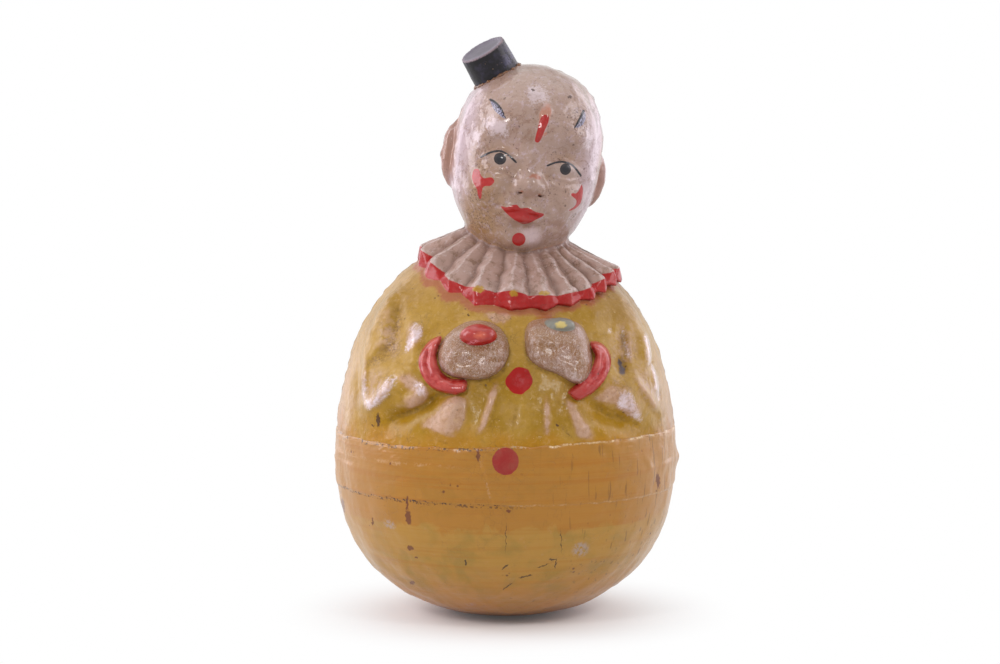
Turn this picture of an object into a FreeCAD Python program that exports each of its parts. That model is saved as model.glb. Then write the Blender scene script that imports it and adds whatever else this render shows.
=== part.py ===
"""Pressed papier-mache clown roly-poly, 240 mm tall, as the pieces that it is glued together from.

Two pressed shells, front and back, make the figure and meet on the plane y = 0. A round bowl with a
cast weight set in plaster is glued under them, and a strip of cloth tape covers the joint. The small
turned hat is pegged and glued to the crown. The figure faces -Y. All sizes are in millimetres.
"""
import FreeCAD, Part
import math
import os

from FreeCAD import Rotation, Vector

# Body: one round belly, drawn as a rounder-than-elliptic curve below the joint and another above it
belly_radius = 70.6
joint_height = 65.0
foot_radius = 8.0
bowl_power = 2.3
torso_rise = 93.0
torso_power = 2.2
torso_top_angle = 74.0
chest_flattening = 0.38
wall = 3.0

# Strip of tape round the joint, its lapped end, and the card ring behind the joint
tape_width = 24.4
tape_rise = 1.7
tape_thickness = 0.5
tape_lap_length = 9.0
tape_end_x = -9.0
liner_width = 16.0
liner_thickness = 1.2

# Paper strips pasted inside over the two side seams
strip_width = 12.0
strip_thickness = 0.8
strip_top_height = 132.0

# Weight and its bed in the bottom of the bowl
weight_radius = 27.0
weight_height = 17.0
weight_edge_round = 3.0
weight_lift = 5.5
bed_depth = 17.0

# Head: a skull that leans to one side, with the face turned a little the same way
head_x = 8.4
head_y = -0.8
head_z = 189.0
head_half_width = 30.8
head_half_depth = 30.5
head_half_height = 39.6
head_tilt = 9.5
face_middle = 2.2
neck_radius = 21.5
neck_x = 4.6

# Ears, pressed half in each shell
ear_reach = 4.6
ear_thickness = 9.2
ear_back = 2.6

# Ruff: folded pleats that lie on the shoulders
pleat_count = 20
first_pleat_angle = -94.0
ruff_centre_x = 5.8
ruff_radius = 41.8
ruff_inner_radius = 19.0
ruff_side_height = 148.6
ruff_front_drop = 10.8
ruff_rim_height = 6.0
ruff_neck_rise = 11.0
ruff_neck_drop = 5.0
ruff_roll = 5.0
pleat_depth = 2.6
pleat_valley_drop = 1.8

# Sleeves, hands, cuffs and what the hands hold, all in relief on the front of the torso
hand_height = 113.5
left_hand_x = -12.6
right_hand_x = 21.6
hand_half_width = 14.6
hand_relief = 7.5
sleeve_relief = 3.2
fold_relief = 1.3
ball_radius = 7.6
cuff_radius = 2.1
cuff_proud = 3.4

# Hat, its peg and its glue
hat_top_radius = 9.7
hat_foot_radius = 10.1
hat_height = 13.0
hat_edge_round = 0.5
hat_lean_side = 29.4
hat_lean_front = 15.0
hat_foot_x = -3.5
hat_foot_y = -1.5
hat_foot_z = 224.02
peg_radius = 2.5
peg_in_hat = 8.0
peg_in_head = 9.0
glue_width = 1.3
glue_height = 1.0

# Reach of cutting solids past what they cut
margin = 10.0
tiny = 0.05


def rounded_curve(radius, height, power, angle):
    """Distance from the axis and height of one point of a superellipse, by its angle in degrees."""
    exponent = 2.0 / power
    out = radius * math.cos(math.radians(angle)) ** exponent
    up = height * math.sin(math.radians(angle)) ** exponent
    return out, up


def bowl_depth():
    """Depth of the bowl's curve below the joint, so that the floor plane cuts the foot's radius."""
    share = (foot_radius / belly_radius) ** bowl_power
    return joint_height / (1.0 - share) ** (1.0 / bowl_power)


def ellipse_wire(centre, half_width, half_depth):
    """Level closed curve round an ellipse, with the same knots whatever its size."""
    count = 16
    points = []
    for step in range(count):
        angle = 2 * math.pi * step / count - math.pi / 2
        points.append(centre + Vector(half_width * math.cos(angle), half_depth * math.sin(angle), 0))
    curve = Part.BSplineCurve()
    knots = [float(step) for step in range(count + 1)]
    curve.interpolate(Points=points, PeriodicFlag=True, Parameters=knots)
    return Part.Wire([curve.toShape()])


def bowl_solid(inset):
    """Solid body of the bowl up to the joint, with its surface moved inwards by the inset."""
    steps = 10
    foot_angle = math.degrees(math.acos((foot_radius / belly_radius) ** (bowl_power / 2.0)))
    wires = []
    for step in range(steps + 1):
        angle = foot_angle * step / steps
        out, down = rounded_curve(belly_radius - inset, bowl_depth() - inset, bowl_power, angle)
        wires.append(ellipse_wire(Vector(0, 0, joint_height - down), out, out))
    return Part.makeLoft(wires, True, False)


def torso_solid(inset):
    """Solid torso from the joint to the root of the neck, flatter front to back towards the top."""
    steps = 9
    wires = []
    for step in range(steps + 1):
        angle = torso_top_angle * step / steps
        out, up = rounded_curve(belly_radius - inset, torso_rise - inset, torso_power, angle)
        flattening = 1.0 - chest_flattening * (up / torso_rise) ** 2
        wires.append(ellipse_wire(Vector(0, 0, joint_height + up), out, out * flattening))
    return Part.makeLoft(wires, True, False)


def place_in_head(shape):
    """Moves a shape from the head's own frame to its place."""
    shape.rotate(Vector(0, 0, 0), Vector(0, 1, 0), head_tilt)
    shape.translate(Vector(head_x, head_y, head_z))
    return shape


def head_sections():
    """Level sections of the head: share of the half height, half width, half depth, and forward shift."""
    return (
        (-0.985, 0.20, 0.22, 0.28),
        (-0.93, 0.44, 0.46, 0.24),
        (-0.80, 0.64, 0.68, 0.16),
        (-0.60, 0.79, 0.84, 0.09),
        (-0.38, 0.91, 0.93, 0.05),
        (-0.10, 0.99, 0.99, 0.02),
        (0.16, 1.00, 1.02, 0.00),
        (0.42, 0.955, 0.99, -0.02),
        (0.62, 0.86, 0.90, -0.03),
        (0.79, 0.69, 0.72, -0.03),
        (0.91, 0.47, 0.49, -0.03),
        (0.985, 0.20, 0.21, -0.03),
    )


def head_solid(inset):
    """Solid skull and jaw, lofted from the chin to the crown."""
    width = head_half_width - inset
    depth = head_half_depth - inset
    height = head_half_height - inset
    wires = []
    for level, wide, deep, forward in head_sections():
        centre = Vector(0, -forward * depth, level * height)
        wires.append(ellipse_wire(centre, wide * width, deep * depth))
    return place_in_head(Part.makeLoft(wires, True, False))


def face_front(across, up):
    """Place of the face's surface along the head's own depth, at a place across and up from its centre."""
    level = up / head_half_height
    sections = head_sections()
    for lower, upper in zip(sections, sections[1:]):
        if level <= upper[0]:
            break
    share = (level - lower[0]) / (upper[0] - lower[0])
    wide, deep, forward = (low + share * (high - low) for low, high in zip(lower[1:], upper[1:]))
    out = math.sqrt(max(0.0, 1.0 - (across / (wide * head_half_width)) ** 2))
    return -head_half_depth * (forward + deep * out)


def neck_solid(inset):
    """Short neck that joins the torso to the head inside the ruff."""
    low = joint_height + 0.85 * torso_rise - inset
    high = head_z - 0.45 * head_half_height
    return Part.makeCylinder(neck_radius - inset, high - low, Vector(neck_x, 0, low))


def ellipsoid(half_x, half_y, half_z):
    """Ellipsoid about the origin."""
    stretch = FreeCAD.Matrix()
    stretch.scale(half_x, half_y, half_z)
    return Part.makeSphere(1.0).transformGeometry(stretch)


def bump(centre, sizes, turn):
    """Ellipsoid of three half sizes, turned as seen from the front, and put at a point."""
    shape = ellipsoid(*sizes)
    shape.rotate(Vector(0, 0, 0), Vector(0, 1, 0), turn)
    shape.translate(centre)
    return shape


def torso_front(across, height):
    """Depth of the torso's front surface at a place across and a height."""
    up = height - joint_height
    share = (up / torso_rise) ** torso_power
    out = belly_radius * (1.0 - share) ** (1.0 / torso_power)
    deep = out * (1.0 - chest_flattening * (up / torso_rise) ** 2)
    return -deep * math.sqrt(1.0 - (across / out) ** 2)


def on_torso(across, height, proud=0.0):
    """Point over the torso's front surface, moved forwards by the given amount."""
    return Vector(across, torso_front(across, height) - proud, height)


def seat_square(shape, front, across, up, proud):
    """Turns a shape made round -Y square to a front surface, and puts it there, proud by an amount."""
    step = 0.5
    slope_across = (front(across + step, up) - front(across - step, up)) / (2 * step)
    slope_up = (front(across, up + step) - front(across, up - step)) / (2 * step)
    normal = Vector(slope_across, -1.0, slope_up).normalize()
    lean = Rotation(Vector(0, -1, 0), normal)
    shape.rotate(Vector(0, 0, 0), lean.Axis, math.degrees(lean.Angle))
    shape.translate(Vector(across, front(across, up), up) + normal * proud)
    return shape


def seated_bump(front, across, up, half_wide, half_tall, relief, turn=0.0):
    """Ellipsoid sunk in a front surface so that only its relief stands out of it."""
    half_thick = 1.6 * relief
    shape = ellipsoid(half_wide, half_thick, half_tall)
    shape.rotate(Vector(0, 0, 0), Vector(0, 1, 0), turn)
    return seat_square(shape, front, across, up, relief - half_thick)


def seated_welt(across, up, radius, thickness, start, sweep):
    """Part of a round ring lying on the torso, from a start angle anticlockwise as seen from the front."""
    towards_front = Vector(0, -1, 0)
    section = Part.Wire([Part.Circle(Vector(radius, 0, 0), Vector(0, 0, 1), thickness).toShape()])
    welt = Part.Face(section).revolve(Vector(0, 0, 0), towards_front, sweep)
    welt.rotate(Vector(0, 0, 0), towards_front, start)
    return seat_square(welt, torso_front, across, up, cuff_proud)


def face_features():
    """Nose, cheeks, eyelids, lips, chin and the raised drop on the forehead."""
    # Sideways from the face's middle, up from the head's centre, half width, half height and relief, all as
    # shares of the head's half height, and the turn in degrees
    features = [
        (0.020, -0.205, 0.119, 0.109, 0.126, 0.0),
        (0.015, -0.060, 0.075, 0.215, 0.045, 0.0),
        (0.000, -0.515, 0.222, 0.082, 0.058, 0.0),
        (0.000, -0.780, 0.215, 0.158, 0.050, 0.0),
        (0.025, 0.420, 0.055, 0.215, 0.026, 3.0),
    ]
    for side in (-1, 1):
        features.append((0.020 + side * 0.118, -0.250, 0.073, 0.068, 0.080, 0.0))
        features.append((side * 0.379, -0.325, 0.255, 0.222, 0.056, side * -8.0))
        features.append((side * 0.350, -0.018, 0.184, 0.094, 0.033, side * 3.0))
    shapes = []
    for share_across, share_up, *shares, turn in features:
        across = share_across * head_half_height + face_middle
        sizes = [share * head_half_height for share in shares]
        shape = seated_bump(face_front, across, share_up * head_half_height, *sizes, turn)
        shapes.append(place_in_head(shape))
    return shapes


def ears():
    """Two ears, each crossed by the parting plane and mostly in the back shell."""
    shapes = []
    half_wide = 0.177 * head_half_height
    for side, share_tall, share_up in ((-1, 0.415, 0.015), (1, 0.350, -0.100)):
        reach = head_half_width + ear_reach - half_wide
        sizes = (half_wide, ear_thickness / 2, share_tall * head_half_height)
        shape = bump(Vector(side * reach, ear_back, share_up * head_half_height), sizes, side * 4.0)
        shapes.append(place_in_head(shape))
    return shapes


def ruff_point(index, inner, lower):
    """Corner of the folded ruff: even indices are ridges, odd ones valleys."""
    valley = index % 2
    angle = math.radians(first_pleat_angle + index * 180.0 / pleat_count)
    towards_front = math.sin(angle) ** 2
    if inner:
        radius = ruff_inner_radius
        height = ruff_side_height + ruff_neck_rise - ruff_neck_drop * towards_front
        if lower:
            height -= ruff_neck_rise + ruff_front_drop + ruff_rim_height
    else:
        radius = ruff_radius - valley * pleat_depth - (pleat_valley_drop / 2 if lower else 0.0)
        height = ruff_side_height - ruff_front_drop * towards_front - valley * pleat_valley_drop
        if lower:
            height -= ruff_rim_height - valley * pleat_valley_drop
    across = radius * math.cos(angle)
    height -= across * math.tan(math.radians(ruff_roll))
    return Vector(ruff_centre_x + across, radius * math.sin(angle), height)


def triangle(first, second, third):
    """Flat three-cornered face."""
    return Part.Face(Part.makePolygon([first, second, third, first]))


def ruff_solid():
    """Ring of folded pleats, closed by its rim, its underside and the wall at the neck."""
    faces = []
    corners = 2 * pleat_count
    rings = ((True, False), (False, False), (False, True), (True, True))
    for index in range(corners):
        after = (index + 1) % corners
        for place, ring in enumerate(rings):
            follower = rings[(place + 1) % len(rings)]
            here, along = ruff_point(index, *ring), ruff_point(after, *ring)
            below, across = ruff_point(index, *follower), ruff_point(after, *follower)
            # The fold's own edge runs along the ridge or the valley, so each flat is split the same way
            if index % 2:
                faces += [triangle(here, below, across), triangle(here, across, along)]
            else:
                faces += [triangle(here, below, along), triangle(below, across, along)]
    solid = Part.Solid(Part.Shell(faces))
    return solid if solid.Volume > 0 else solid.reversed()


def sleeves():
    """Full sleeves: an upper arm down each side and a forearm that comes forwards to the cuff."""
    # Sideways, up from the hands, half width, half height and turn; lengths as shares of the belly's radius
    shapes = []
    for side, drop in ((-1, 0.0), (1, 0.028)):
        for across, up, half_wide, half_tall, relief, turn in (
            (0.74, -0.021, 0.170, 0.297, 0.8, 12.0),
            (0.60, -0.156, 0.240, 0.163, 1.1, 22.0),
        ):
            place = side * across * belly_radius, hand_height + (up - drop) * belly_radius
            half = half_wide * belly_radius, half_tall * belly_radius
            shapes.append(seated_bump(torso_front, *place, *half, relief * sleeve_relief, side * turn))
    return shapes


def coat_folds():
    """Pressed folds of the coat below the hands, each a long low ridge."""
    # Sideways, up from the hands, half width, half height and turn; lengths as shares of the belly's radius
    shapes = []
    for across, up, half_wide, half_tall, turn in (
        (-0.319, -0.326, 0.092, 0.142, 14.0),
        (-0.092, -0.283, 0.042, 0.163, 18.0),
        (0.425, -0.348, 0.057, 0.135, -14.0),
    ):
        place = across * belly_radius, hand_height + up * belly_radius
        half = half_wide * belly_radius, half_tall * belly_radius
        shapes.append(seated_bump(torso_front, *place, *half, fold_relief, turn))
    return shapes


def hands():
    """Two closed hands in relief, the ball on one and the worn knob on the other."""
    wide = hand_half_width
    right_height = hand_height + 0.10 * wide
    left = seated_bump(torso_front, left_hand_x, hand_height, wide, 0.77 * wide, hand_relief, -4.0)
    right = seated_bump(torso_front, right_hand_x, right_height, wide, 0.93 * wide, hand_relief, 12.0)
    ball_place = on_torso(left_hand_x + 0.14 * wide, hand_height + 0.47 * wide, hand_relief * 0.38)
    ball = Part.makeSphere(ball_radius, ball_place)
    knob_place = right_hand_x - 0.05 * wide, hand_height + 0.75 * wide
    knob = seated_bump(torso_front, *knob_place, 0.39 * wide, 0.25 * wide, hand_relief * 0.95)
    return [left, right, ball, knob]


def cuffs():
    """Turned edge of each sleeve, a round welt that curves round the heel of the hand."""
    # Hand, centre sideways and up from it, radius of the bend, then the start and the sweep in degrees
    shapes = []
    for hand_x, across, up, bend, start, sweep in (
        (left_hand_x, -0.75, -0.22, 0.72, 112.0, 195.0),
        (right_hand_x, 0.55, -0.44, 0.80, -107.0, 165.0),
    ):
        place = hand_x + across * hand_half_width, hand_height + up * hand_half_width
        shapes.append(seated_welt(*place, bend * hand_half_width, cuff_radius, start, sweep))
    return shapes


def slab(low, high):
    """Level slab wider than the toy."""
    size = 2 * (belly_radius + margin)
    return Part.makeBox(size, size, high - low, Vector(-size / 2, -size / 2, low))


def half_space(front):
    """Block that holds all of the toy in front of, or behind, the parting plane."""
    size = 2 * (belly_radius + margin)
    tall = 2 * (joint_height + torso_rise + 2 * head_half_height)
    start = -size if front else 0.0
    return Part.makeBox(2 * size, size, tall, Vector(-size, start, -margin))


def hat_frame(shape):
    """Moves a shape made about +Z at the origin to the hat's foot and lean."""
    side, front = math.radians(hat_lean_side), math.radians(hat_lean_front)
    axis = Vector(-math.sin(side) * math.cos(front), -math.sin(front), math.cos(side) * math.cos(front))
    turn = Rotation(Vector(0, 0, 1), axis)
    shape.rotate(Vector(0, 0, 0), turn.Axis, math.degrees(turn.Angle))
    shape.translate(Vector(hat_foot_x, hat_foot_y, hat_foot_z))
    return shape


def hat_blank():
    """Turned hat before its foot is dished, with a softened top edge."""
    below = hat_foot_radius
    slope = (hat_top_radius - hat_foot_radius) / hat_height
    low_radius = hat_foot_radius - slope * below
    blank = Part.makeCone(low_radius, hat_top_radius, hat_height + below, Vector(0, 0, -below))
    top_edges = [edge for edge in blank.Edges if abs(edge.CenterOfMass.z - hat_height) < tiny]
    blank = blank.makeFillet(hat_edge_round, top_edges[:1])
    return hat_frame(blank)


def hat_peg():
    """Dowel that runs from the hat through the crown."""
    length = peg_in_hat + peg_in_head
    return hat_frame(Part.makeCylinder(peg_radius, length, Vector(0, 0, -peg_in_head)))


def hat_glue(head, blank):
    """Collar of glue that fills the corner between the hat's foot and the crown."""
    reach = hat_foot_radius + glue_width
    disc = hat_frame(Part.makeCylinder(reach, 2 * reach, Vector(0, 0, -reach)))
    return head_solid(-glue_height).common(disc).cut(head).cut(blank)


def figure_outside():
    """Whole outside of the figure above the joint, as one solid."""
    reliefs = ears() + face_features() + sleeves() + coat_folds() + hands() + cuffs()
    body = head_solid(0.0).multiFuse([torso_solid(0.0), neck_solid(0.0)] + reliefs)
    return body.fuse(ruff_solid())


def figure_inside():
    """Hollow of the figure: torso, neck and head in one."""
    return torso_solid(wall).fuse(neck_solid(wall)).fuse(head_solid(wall))


def belt_tape():
    """Strip of tape over the joint, doubled where its end laps over its start."""
    low = joint_height - tape_width / 2 + tape_rise
    band = slab(low, low + tape_width)
    body = bowl_solid(0.0).fuse(torso_solid(0.0))
    once = bowl_solid(-tape_thickness).fuse(torso_solid(-tape_thickness)).common(band)
    twice = bowl_solid(-2 * tape_thickness).fuse(torso_solid(-2 * tape_thickness)).common(band)
    lap_start = Vector(tape_end_x, -belly_radius - margin, low)
    lap = Part.makeBox(tape_lap_length, belly_radius + margin, tape_width, lap_start)
    return once.fuse(twice.common(lap)).cut(body)


def joint_liner():
    """Card ring glued behind the joint between bowl and shells."""
    band = slab(joint_height - liner_width / 2, joint_height + liner_width / 2)
    outside = bowl_solid(wall).fuse(torso_solid(wall)).common(band)
    depth = wall + liner_thickness
    return outside.cut(bowl_solid(depth).fuse(torso_solid(depth)))


def seam_strip(side):
    """Paper strip pasted inside one side seam, from the card ring up to the shoulder."""
    low = joint_height + liner_width / 2
    corner = Vector(0 if side > 0 else -belly_radius, -strip_width / 2, low)
    box = Part.makeBox(belly_radius, strip_width, strip_top_height - low, corner)
    return torso_solid(wall).common(box).cut(torso_solid(wall + strip_thickness))


def ballast_weight():
    """Cast button weight with rounded edges."""
    low = bowl_floor() + weight_lift
    body = Part.makeCylinder(weight_radius, weight_height, Vector(0, 0, low))
    rims = [edge for edge in body.Edges if edge.Curve.TypeId == "Part::GeomCircle"]
    return body.makeFillet(weight_edge_round, rims)


def bowl_floor():
    """Height of the bowl's inside at its middle."""
    return joint_height - bowl_depth() + wall


def plaster_bed(weight):
    """Plaster poured in the bottom of the bowl round the weight."""
    return bowl_solid(wall).common(slab(-margin, bowl_floor() + bed_depth)).cut(weight)


def base_bowl():
    """Pressed bowl with a small flat worn at its bottom."""
    return bowl_solid(0.0).common(slab(0.0, joint_height)).cut(bowl_solid(wall))


def biggest_solid(shape):
    """Largest solid of a shape, which drops slivers that a cut leaves."""
    return max(shape.Solids, key=lambda solid: solid.Volume)


def build():
    """All pieces of the toy by node name."""
    head = head_solid(0.0)
    blank = hat_blank()
    peg = hat_peg()
    figure = figure_outside().cut(figure_inside()).cut(peg)
    weight = ballast_weight()
    return {
        "front_shell": biggest_solid(figure.common(half_space(True))),
        "back_shell": biggest_solid(figure.common(half_space(False))),
        "base_bowl": base_bowl(),
        "belt_tape": belt_tape(),
        "joint_liner": joint_liner(),
        "left_seam_strip": seam_strip(-1),
        "right_seam_strip": seam_strip(1),
        "ballast_weight": weight,
        "plaster_bed": plaster_bed(weight),
        "hat": biggest_solid(blank.cut(head).cut(peg)),
        "hat_peg": peg,
        "hat_glue": hat_glue(head, blank),
    }


def main():
    """Writes one file per piece."""
    os.makedirs("parts", exist_ok=True)
    for name, shape in build().items():
        shape.exportStep("parts/" + name + ".step")
        box = shape.BoundBox
        print(f"{name}: {len(shape.Solids)} solid, {len(shape.Faces)} faces, volume {shape.Volume:.0f}, "
              f"from z {box.ZMin:.2f} to {box.ZMax:.2f}, valid {shape.isValid()}")


main()
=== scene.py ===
"""Looks of an old pressed papier-mache clown that rocks upright again.

The two pressed shells are sculpted here as one form of distances in millimetres, parted on the plane
y = 0, and meshed as hollow shells of the real wall. Bowl, tape, hat and glue are modelled round their own
solids of the frame. The figure faces -Y. Meshes are written in metres.
"""
import logging
import math
from collections import Counter
from dataclasses import dataclass, field
from enum import Enum
from functools import cached_property
from typing import Callable, Sequence, TypeAlias

import bpy
import numpy as np
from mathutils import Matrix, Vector
from mathutils.geometry import tessellate_polygon


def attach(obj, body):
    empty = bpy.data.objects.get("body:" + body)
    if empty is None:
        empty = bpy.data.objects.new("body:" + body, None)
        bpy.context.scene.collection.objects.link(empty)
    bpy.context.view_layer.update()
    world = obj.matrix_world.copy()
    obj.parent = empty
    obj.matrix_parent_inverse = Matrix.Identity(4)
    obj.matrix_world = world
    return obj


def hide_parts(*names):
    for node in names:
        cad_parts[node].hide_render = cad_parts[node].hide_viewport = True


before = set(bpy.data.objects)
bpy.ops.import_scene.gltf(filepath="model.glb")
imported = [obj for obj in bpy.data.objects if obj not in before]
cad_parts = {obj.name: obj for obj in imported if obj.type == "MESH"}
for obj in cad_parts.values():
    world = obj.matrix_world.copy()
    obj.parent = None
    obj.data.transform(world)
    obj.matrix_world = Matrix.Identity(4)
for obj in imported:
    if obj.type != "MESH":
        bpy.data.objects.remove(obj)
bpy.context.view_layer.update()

LOG = logging.getLogger("clown")
MM = 0.001
CLOSE = 1e-6
TINY = 1e-9
FAR = 1e9
BEYOND = 60.0
JOINT = 65.0
BELLY_RADIUS = 70.6
WALL = 3.0
BODY = "root"
Array = np.ndarray
Point = tuple[float, float]
Ring = Sequence[Point]
Triple = tuple[float, float, float]
Rgb = tuple[int, int, int]
Blot = tuple[float, float, float, float, float]
Faces = list[list[int]]
Distance = Callable[[Array], Array]
Thing = bpy.types.Object
Socket = bpy.types.NodeSocket
Colour = Rgb | Socket
Number: TypeAlias = "Term | float"


class Finish(Enum):
    """Names of the object's material slots."""

    FRONT = "painted_front"
    BACK = "painted_back"
    BOWL = "painted_bowl"
    TAPE = "painted_tape"
    CARD = "liner_card"
    PAPER = "seam_paper"
    IRON = "cast_weight"
    PLASTER = "bed_plaster"
    HAT = "hat_wood"
    PEG = "peg_wood"
    GLUE = "dried_glue"


def smooth_union(first: Array, second: Array, blend: float) -> Array:
    """Joins two distances with a fillet of a given width."""
    near = np.maximum(blend - np.abs(first - second), 0.0) / blend
    return np.minimum(first, second) - near * near * blend / 4


def smooth_meet(first: Array, second: Array, blend: float) -> Array:
    """Keeps what two forms share, with a rounded edge."""
    return -smooth_union(-first, -second, blend)


def as_distance(level: Distance, points: Array, step: float = 0.2) -> Array:
    """Turns a level function into a distance by dividing it by its slope.

    Args:
        level: function of points that is zero on the surface.
        points: places to measure.
        step: distance over which the slope is taken.

    Returns:
        Distances, negative inside.
    """
    value = level(points)
    slope = np.zeros_like(value)
    for axis in range(3):
        moved = points.copy()
        moved[:, axis] += step
        slope += ((level(moved) - value) / step) ** 2
    return value / np.sqrt(np.maximum(slope, 1e-8))


def gradient(function: Distance, points: Array, step: float = 0.05) -> Array:
    """Slope of a function at points, by central differences.

    Args:
        function: function of points.
        points: places to measure.
        step: distance to either side.

    Returns:
        Slopes, a row for each point.
    """
    result = np.empty_like(points)
    for axis in range(3):
        shift = np.zeros(3)
        shift[axis] = step
        result[:, axis] = (function(points + shift) - function(points - shift)) / (2 * step)
    return result


def onto(function: Distance, places: Array, reach: float, free: Array | float = 1.0) -> Array:
    """Places drawn onto the surface of a distance function.

    Args:
        function: distance function.
        places: places near its surface.
        reach: longest move in one of the two rounds.
        free: shares of the move that are allowed along the axes.

    Returns:
        The moved places.
    """
    for _ in range(2):
        slope = gradient(function, places) * free
        move = slope * (function(places) / np.maximum((slope ** 2).sum(1), 0.05))[:, None]
        places = places - move / np.maximum(np.linalg.norm(move, axis=1, keepdims=True) / reach, 1.0)
    return places


def unit(vectors: Array) -> Array:
    """Vectors at length one."""
    return vectors / np.maximum(np.linalg.norm(vectors, axis=-1, keepdims=True), TINY)


def beside(across: Array, up: Array, one: Array, two: Array) -> tuple[Array, Array]:
    """Distance to a straight run as seen from the front, and share of the way along it.

    Args:
        across: sideways places.
        up: heights.
        one: start of the run.
        two: its end.

    Returns:
        Distances, and shares from 0 to 1.
    """
    way = two - one
    along = ((across - one[0]) * way[0] + (up - one[1]) * way[1]) / max(way @ way, TINY)
    along = np.clip(along, 0.0, 1.0)
    return np.hypot(across - one[0] - along * way[0], up - one[1] - along * way[1]), along


@dataclass(frozen=True)
class Ripple:
    """Soft lumps of a hand-pressed surface, as a sum of waves in many directions."""

    wavelength: float
    height: float
    seed: int
    waves: int = 14

    def __call__(self, points: Array) -> Array:
        """Height of the lumps at points.

        Args:
            points: places to measure.

        Returns:
            Heights.
        """
        draw = np.random.default_rng(self.seed)
        total = np.zeros(len(points))
        for _ in range(self.waves):
            way = unit(draw.normal(size=3)) * 2 * math.pi / (self.wavelength * draw.uniform(0.65, 1.5))
            total += np.sin(points @ way + draw.uniform(0, 2 * math.pi))
        return total * self.height / math.sqrt(self.waves)


@dataclass(frozen=True)
class Trail:
    """Line drawn on the front of the coat, by sideways place and height, that rises or sinks."""

    points: Ring
    width: Point
    height: float
    taper: float = 0.25

    def near(self, across: Array, up: Array) -> tuple[Array, Array]:
        """Distance to the line as seen from the front, and share of the way along it.

        Args:
            across: sideways places.
            up: heights.

        Returns:
            Distances and shares from 0 to 1.
        """
        ends = np.array(self.points, float)
        lengths = np.linalg.norm(np.diff(ends, axis=0), axis=1)
        starts = np.concatenate([[0.0], np.cumsum(lengths)]) / lengths.sum()
        best = np.full(len(across), FAR)
        share = np.zeros(len(across))
        for index in range(len(lengths)):
            gap, along = beside(across, up, ends[index], ends[index + 1])
            share = np.where(gap < best, starts[index] + along * (starts[index + 1] - starts[index]), share)
            best = np.minimum(gap, best)
        return best, share

    def rise(self, across: Array, up: Array) -> Array:
        """Height that the line adds to the surface, soft at its sides and ends.

        Args:
            across: sideways places.
            up: heights.

        Returns:
            Heights.
        """
        gap, share = self.near(across, up)
        wide = self.width[0] + (self.width[1] - self.width[0]) * share
        ends = np.clip(np.minimum(share, 1 - share) / self.taper, 0.0, 1.0) if self.taper else 1.0
        return self.height * ends * np.exp(-(gap / wide) ** 2)


@dataclass(frozen=True)
class Lump:
    """Egg-shaped form that is blended into a surface, or taken out of it."""

    centre: Array
    half: Triple
    axes: Array
    blend: float = 2.0
    taken: bool = False

    def distance(self, points: Array) -> Array:
        """Distance to the egg.

        Args:
            points: places to measure.

        Returns:
            Distances.
        """
        scaled = ((points - self.centre) @ self.axes.T) / np.array(self.half)
        far = np.linalg.norm(scaled, axis=1)
        return far * (far - 1) / np.maximum(np.linalg.norm(scaled / np.array(self.half), axis=1), CLOSE)

    def shape(self, values: Array, points: Array) -> None:
        """Blends the egg into distances that were measured at points.

        Args:
            values: distances, changed in place.
            points: places where they were measured.
        """
        reach = max(self.half) + self.blend + 2.0
        near = np.all(np.abs(points - self.centre) < reach, axis=1)
        if near.any():
            own = self.distance(points[near])
            if self.taken:
                values[near] = smooth_meet(values[near], -own, self.blend)
            else:
                values[near] = smooth_union(values[near], own, self.blend)


def turned(axes: Array, degrees: float) -> Array:
    """Axes turned about the second one, clockwise as seen from the front.

    Args:
        axes: rows of directions.
        degrees: the angle.

    Returns:
        The turned rows.
    """
    angle = math.radians(degrees)
    across, out, up = axes
    return np.array([
        across * math.cos(angle) - up * math.sin(angle),
        out,
        across * math.sin(angle) + up * math.cos(angle),
    ])


class Ground:
    """Surface on whose front lumps are seated."""

    def seat(self, across: float, up: float, proud: float = 0.0) -> tuple[Array, Array]:
        """Point on, or over, the front surface, and axes square to it: across, outwards, up."""
        raise NotImplementedError

    def relief(self, place: Point, half: Point, height: float, turn: float = 0.0, blend: float = 2.0,
               thick: float = 0.0) -> Lump:
        """Egg sunk in the front so that its height alone stands out; a negative height makes a hollow.

        Args:
            place: place of its middle, across and up.
            half: half width and half height.
            height: how far it stands out, or sinks in.
            turn: degrees clockwise, as seen from the front.
            blend: width of its fillet.
            thick: half thickness of the egg, or 0 for 1.6 times the height.

        Returns:
            The lump.
        """
        deep = thick or 1.6 * abs(height)
        centre, axes = self.seat(*place, height - deep if height > 0 else height + deep)
        return Lump(centre, (half[0], deep, half[1]), turned(axes, turn), blend, taken=height < 0)


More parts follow.
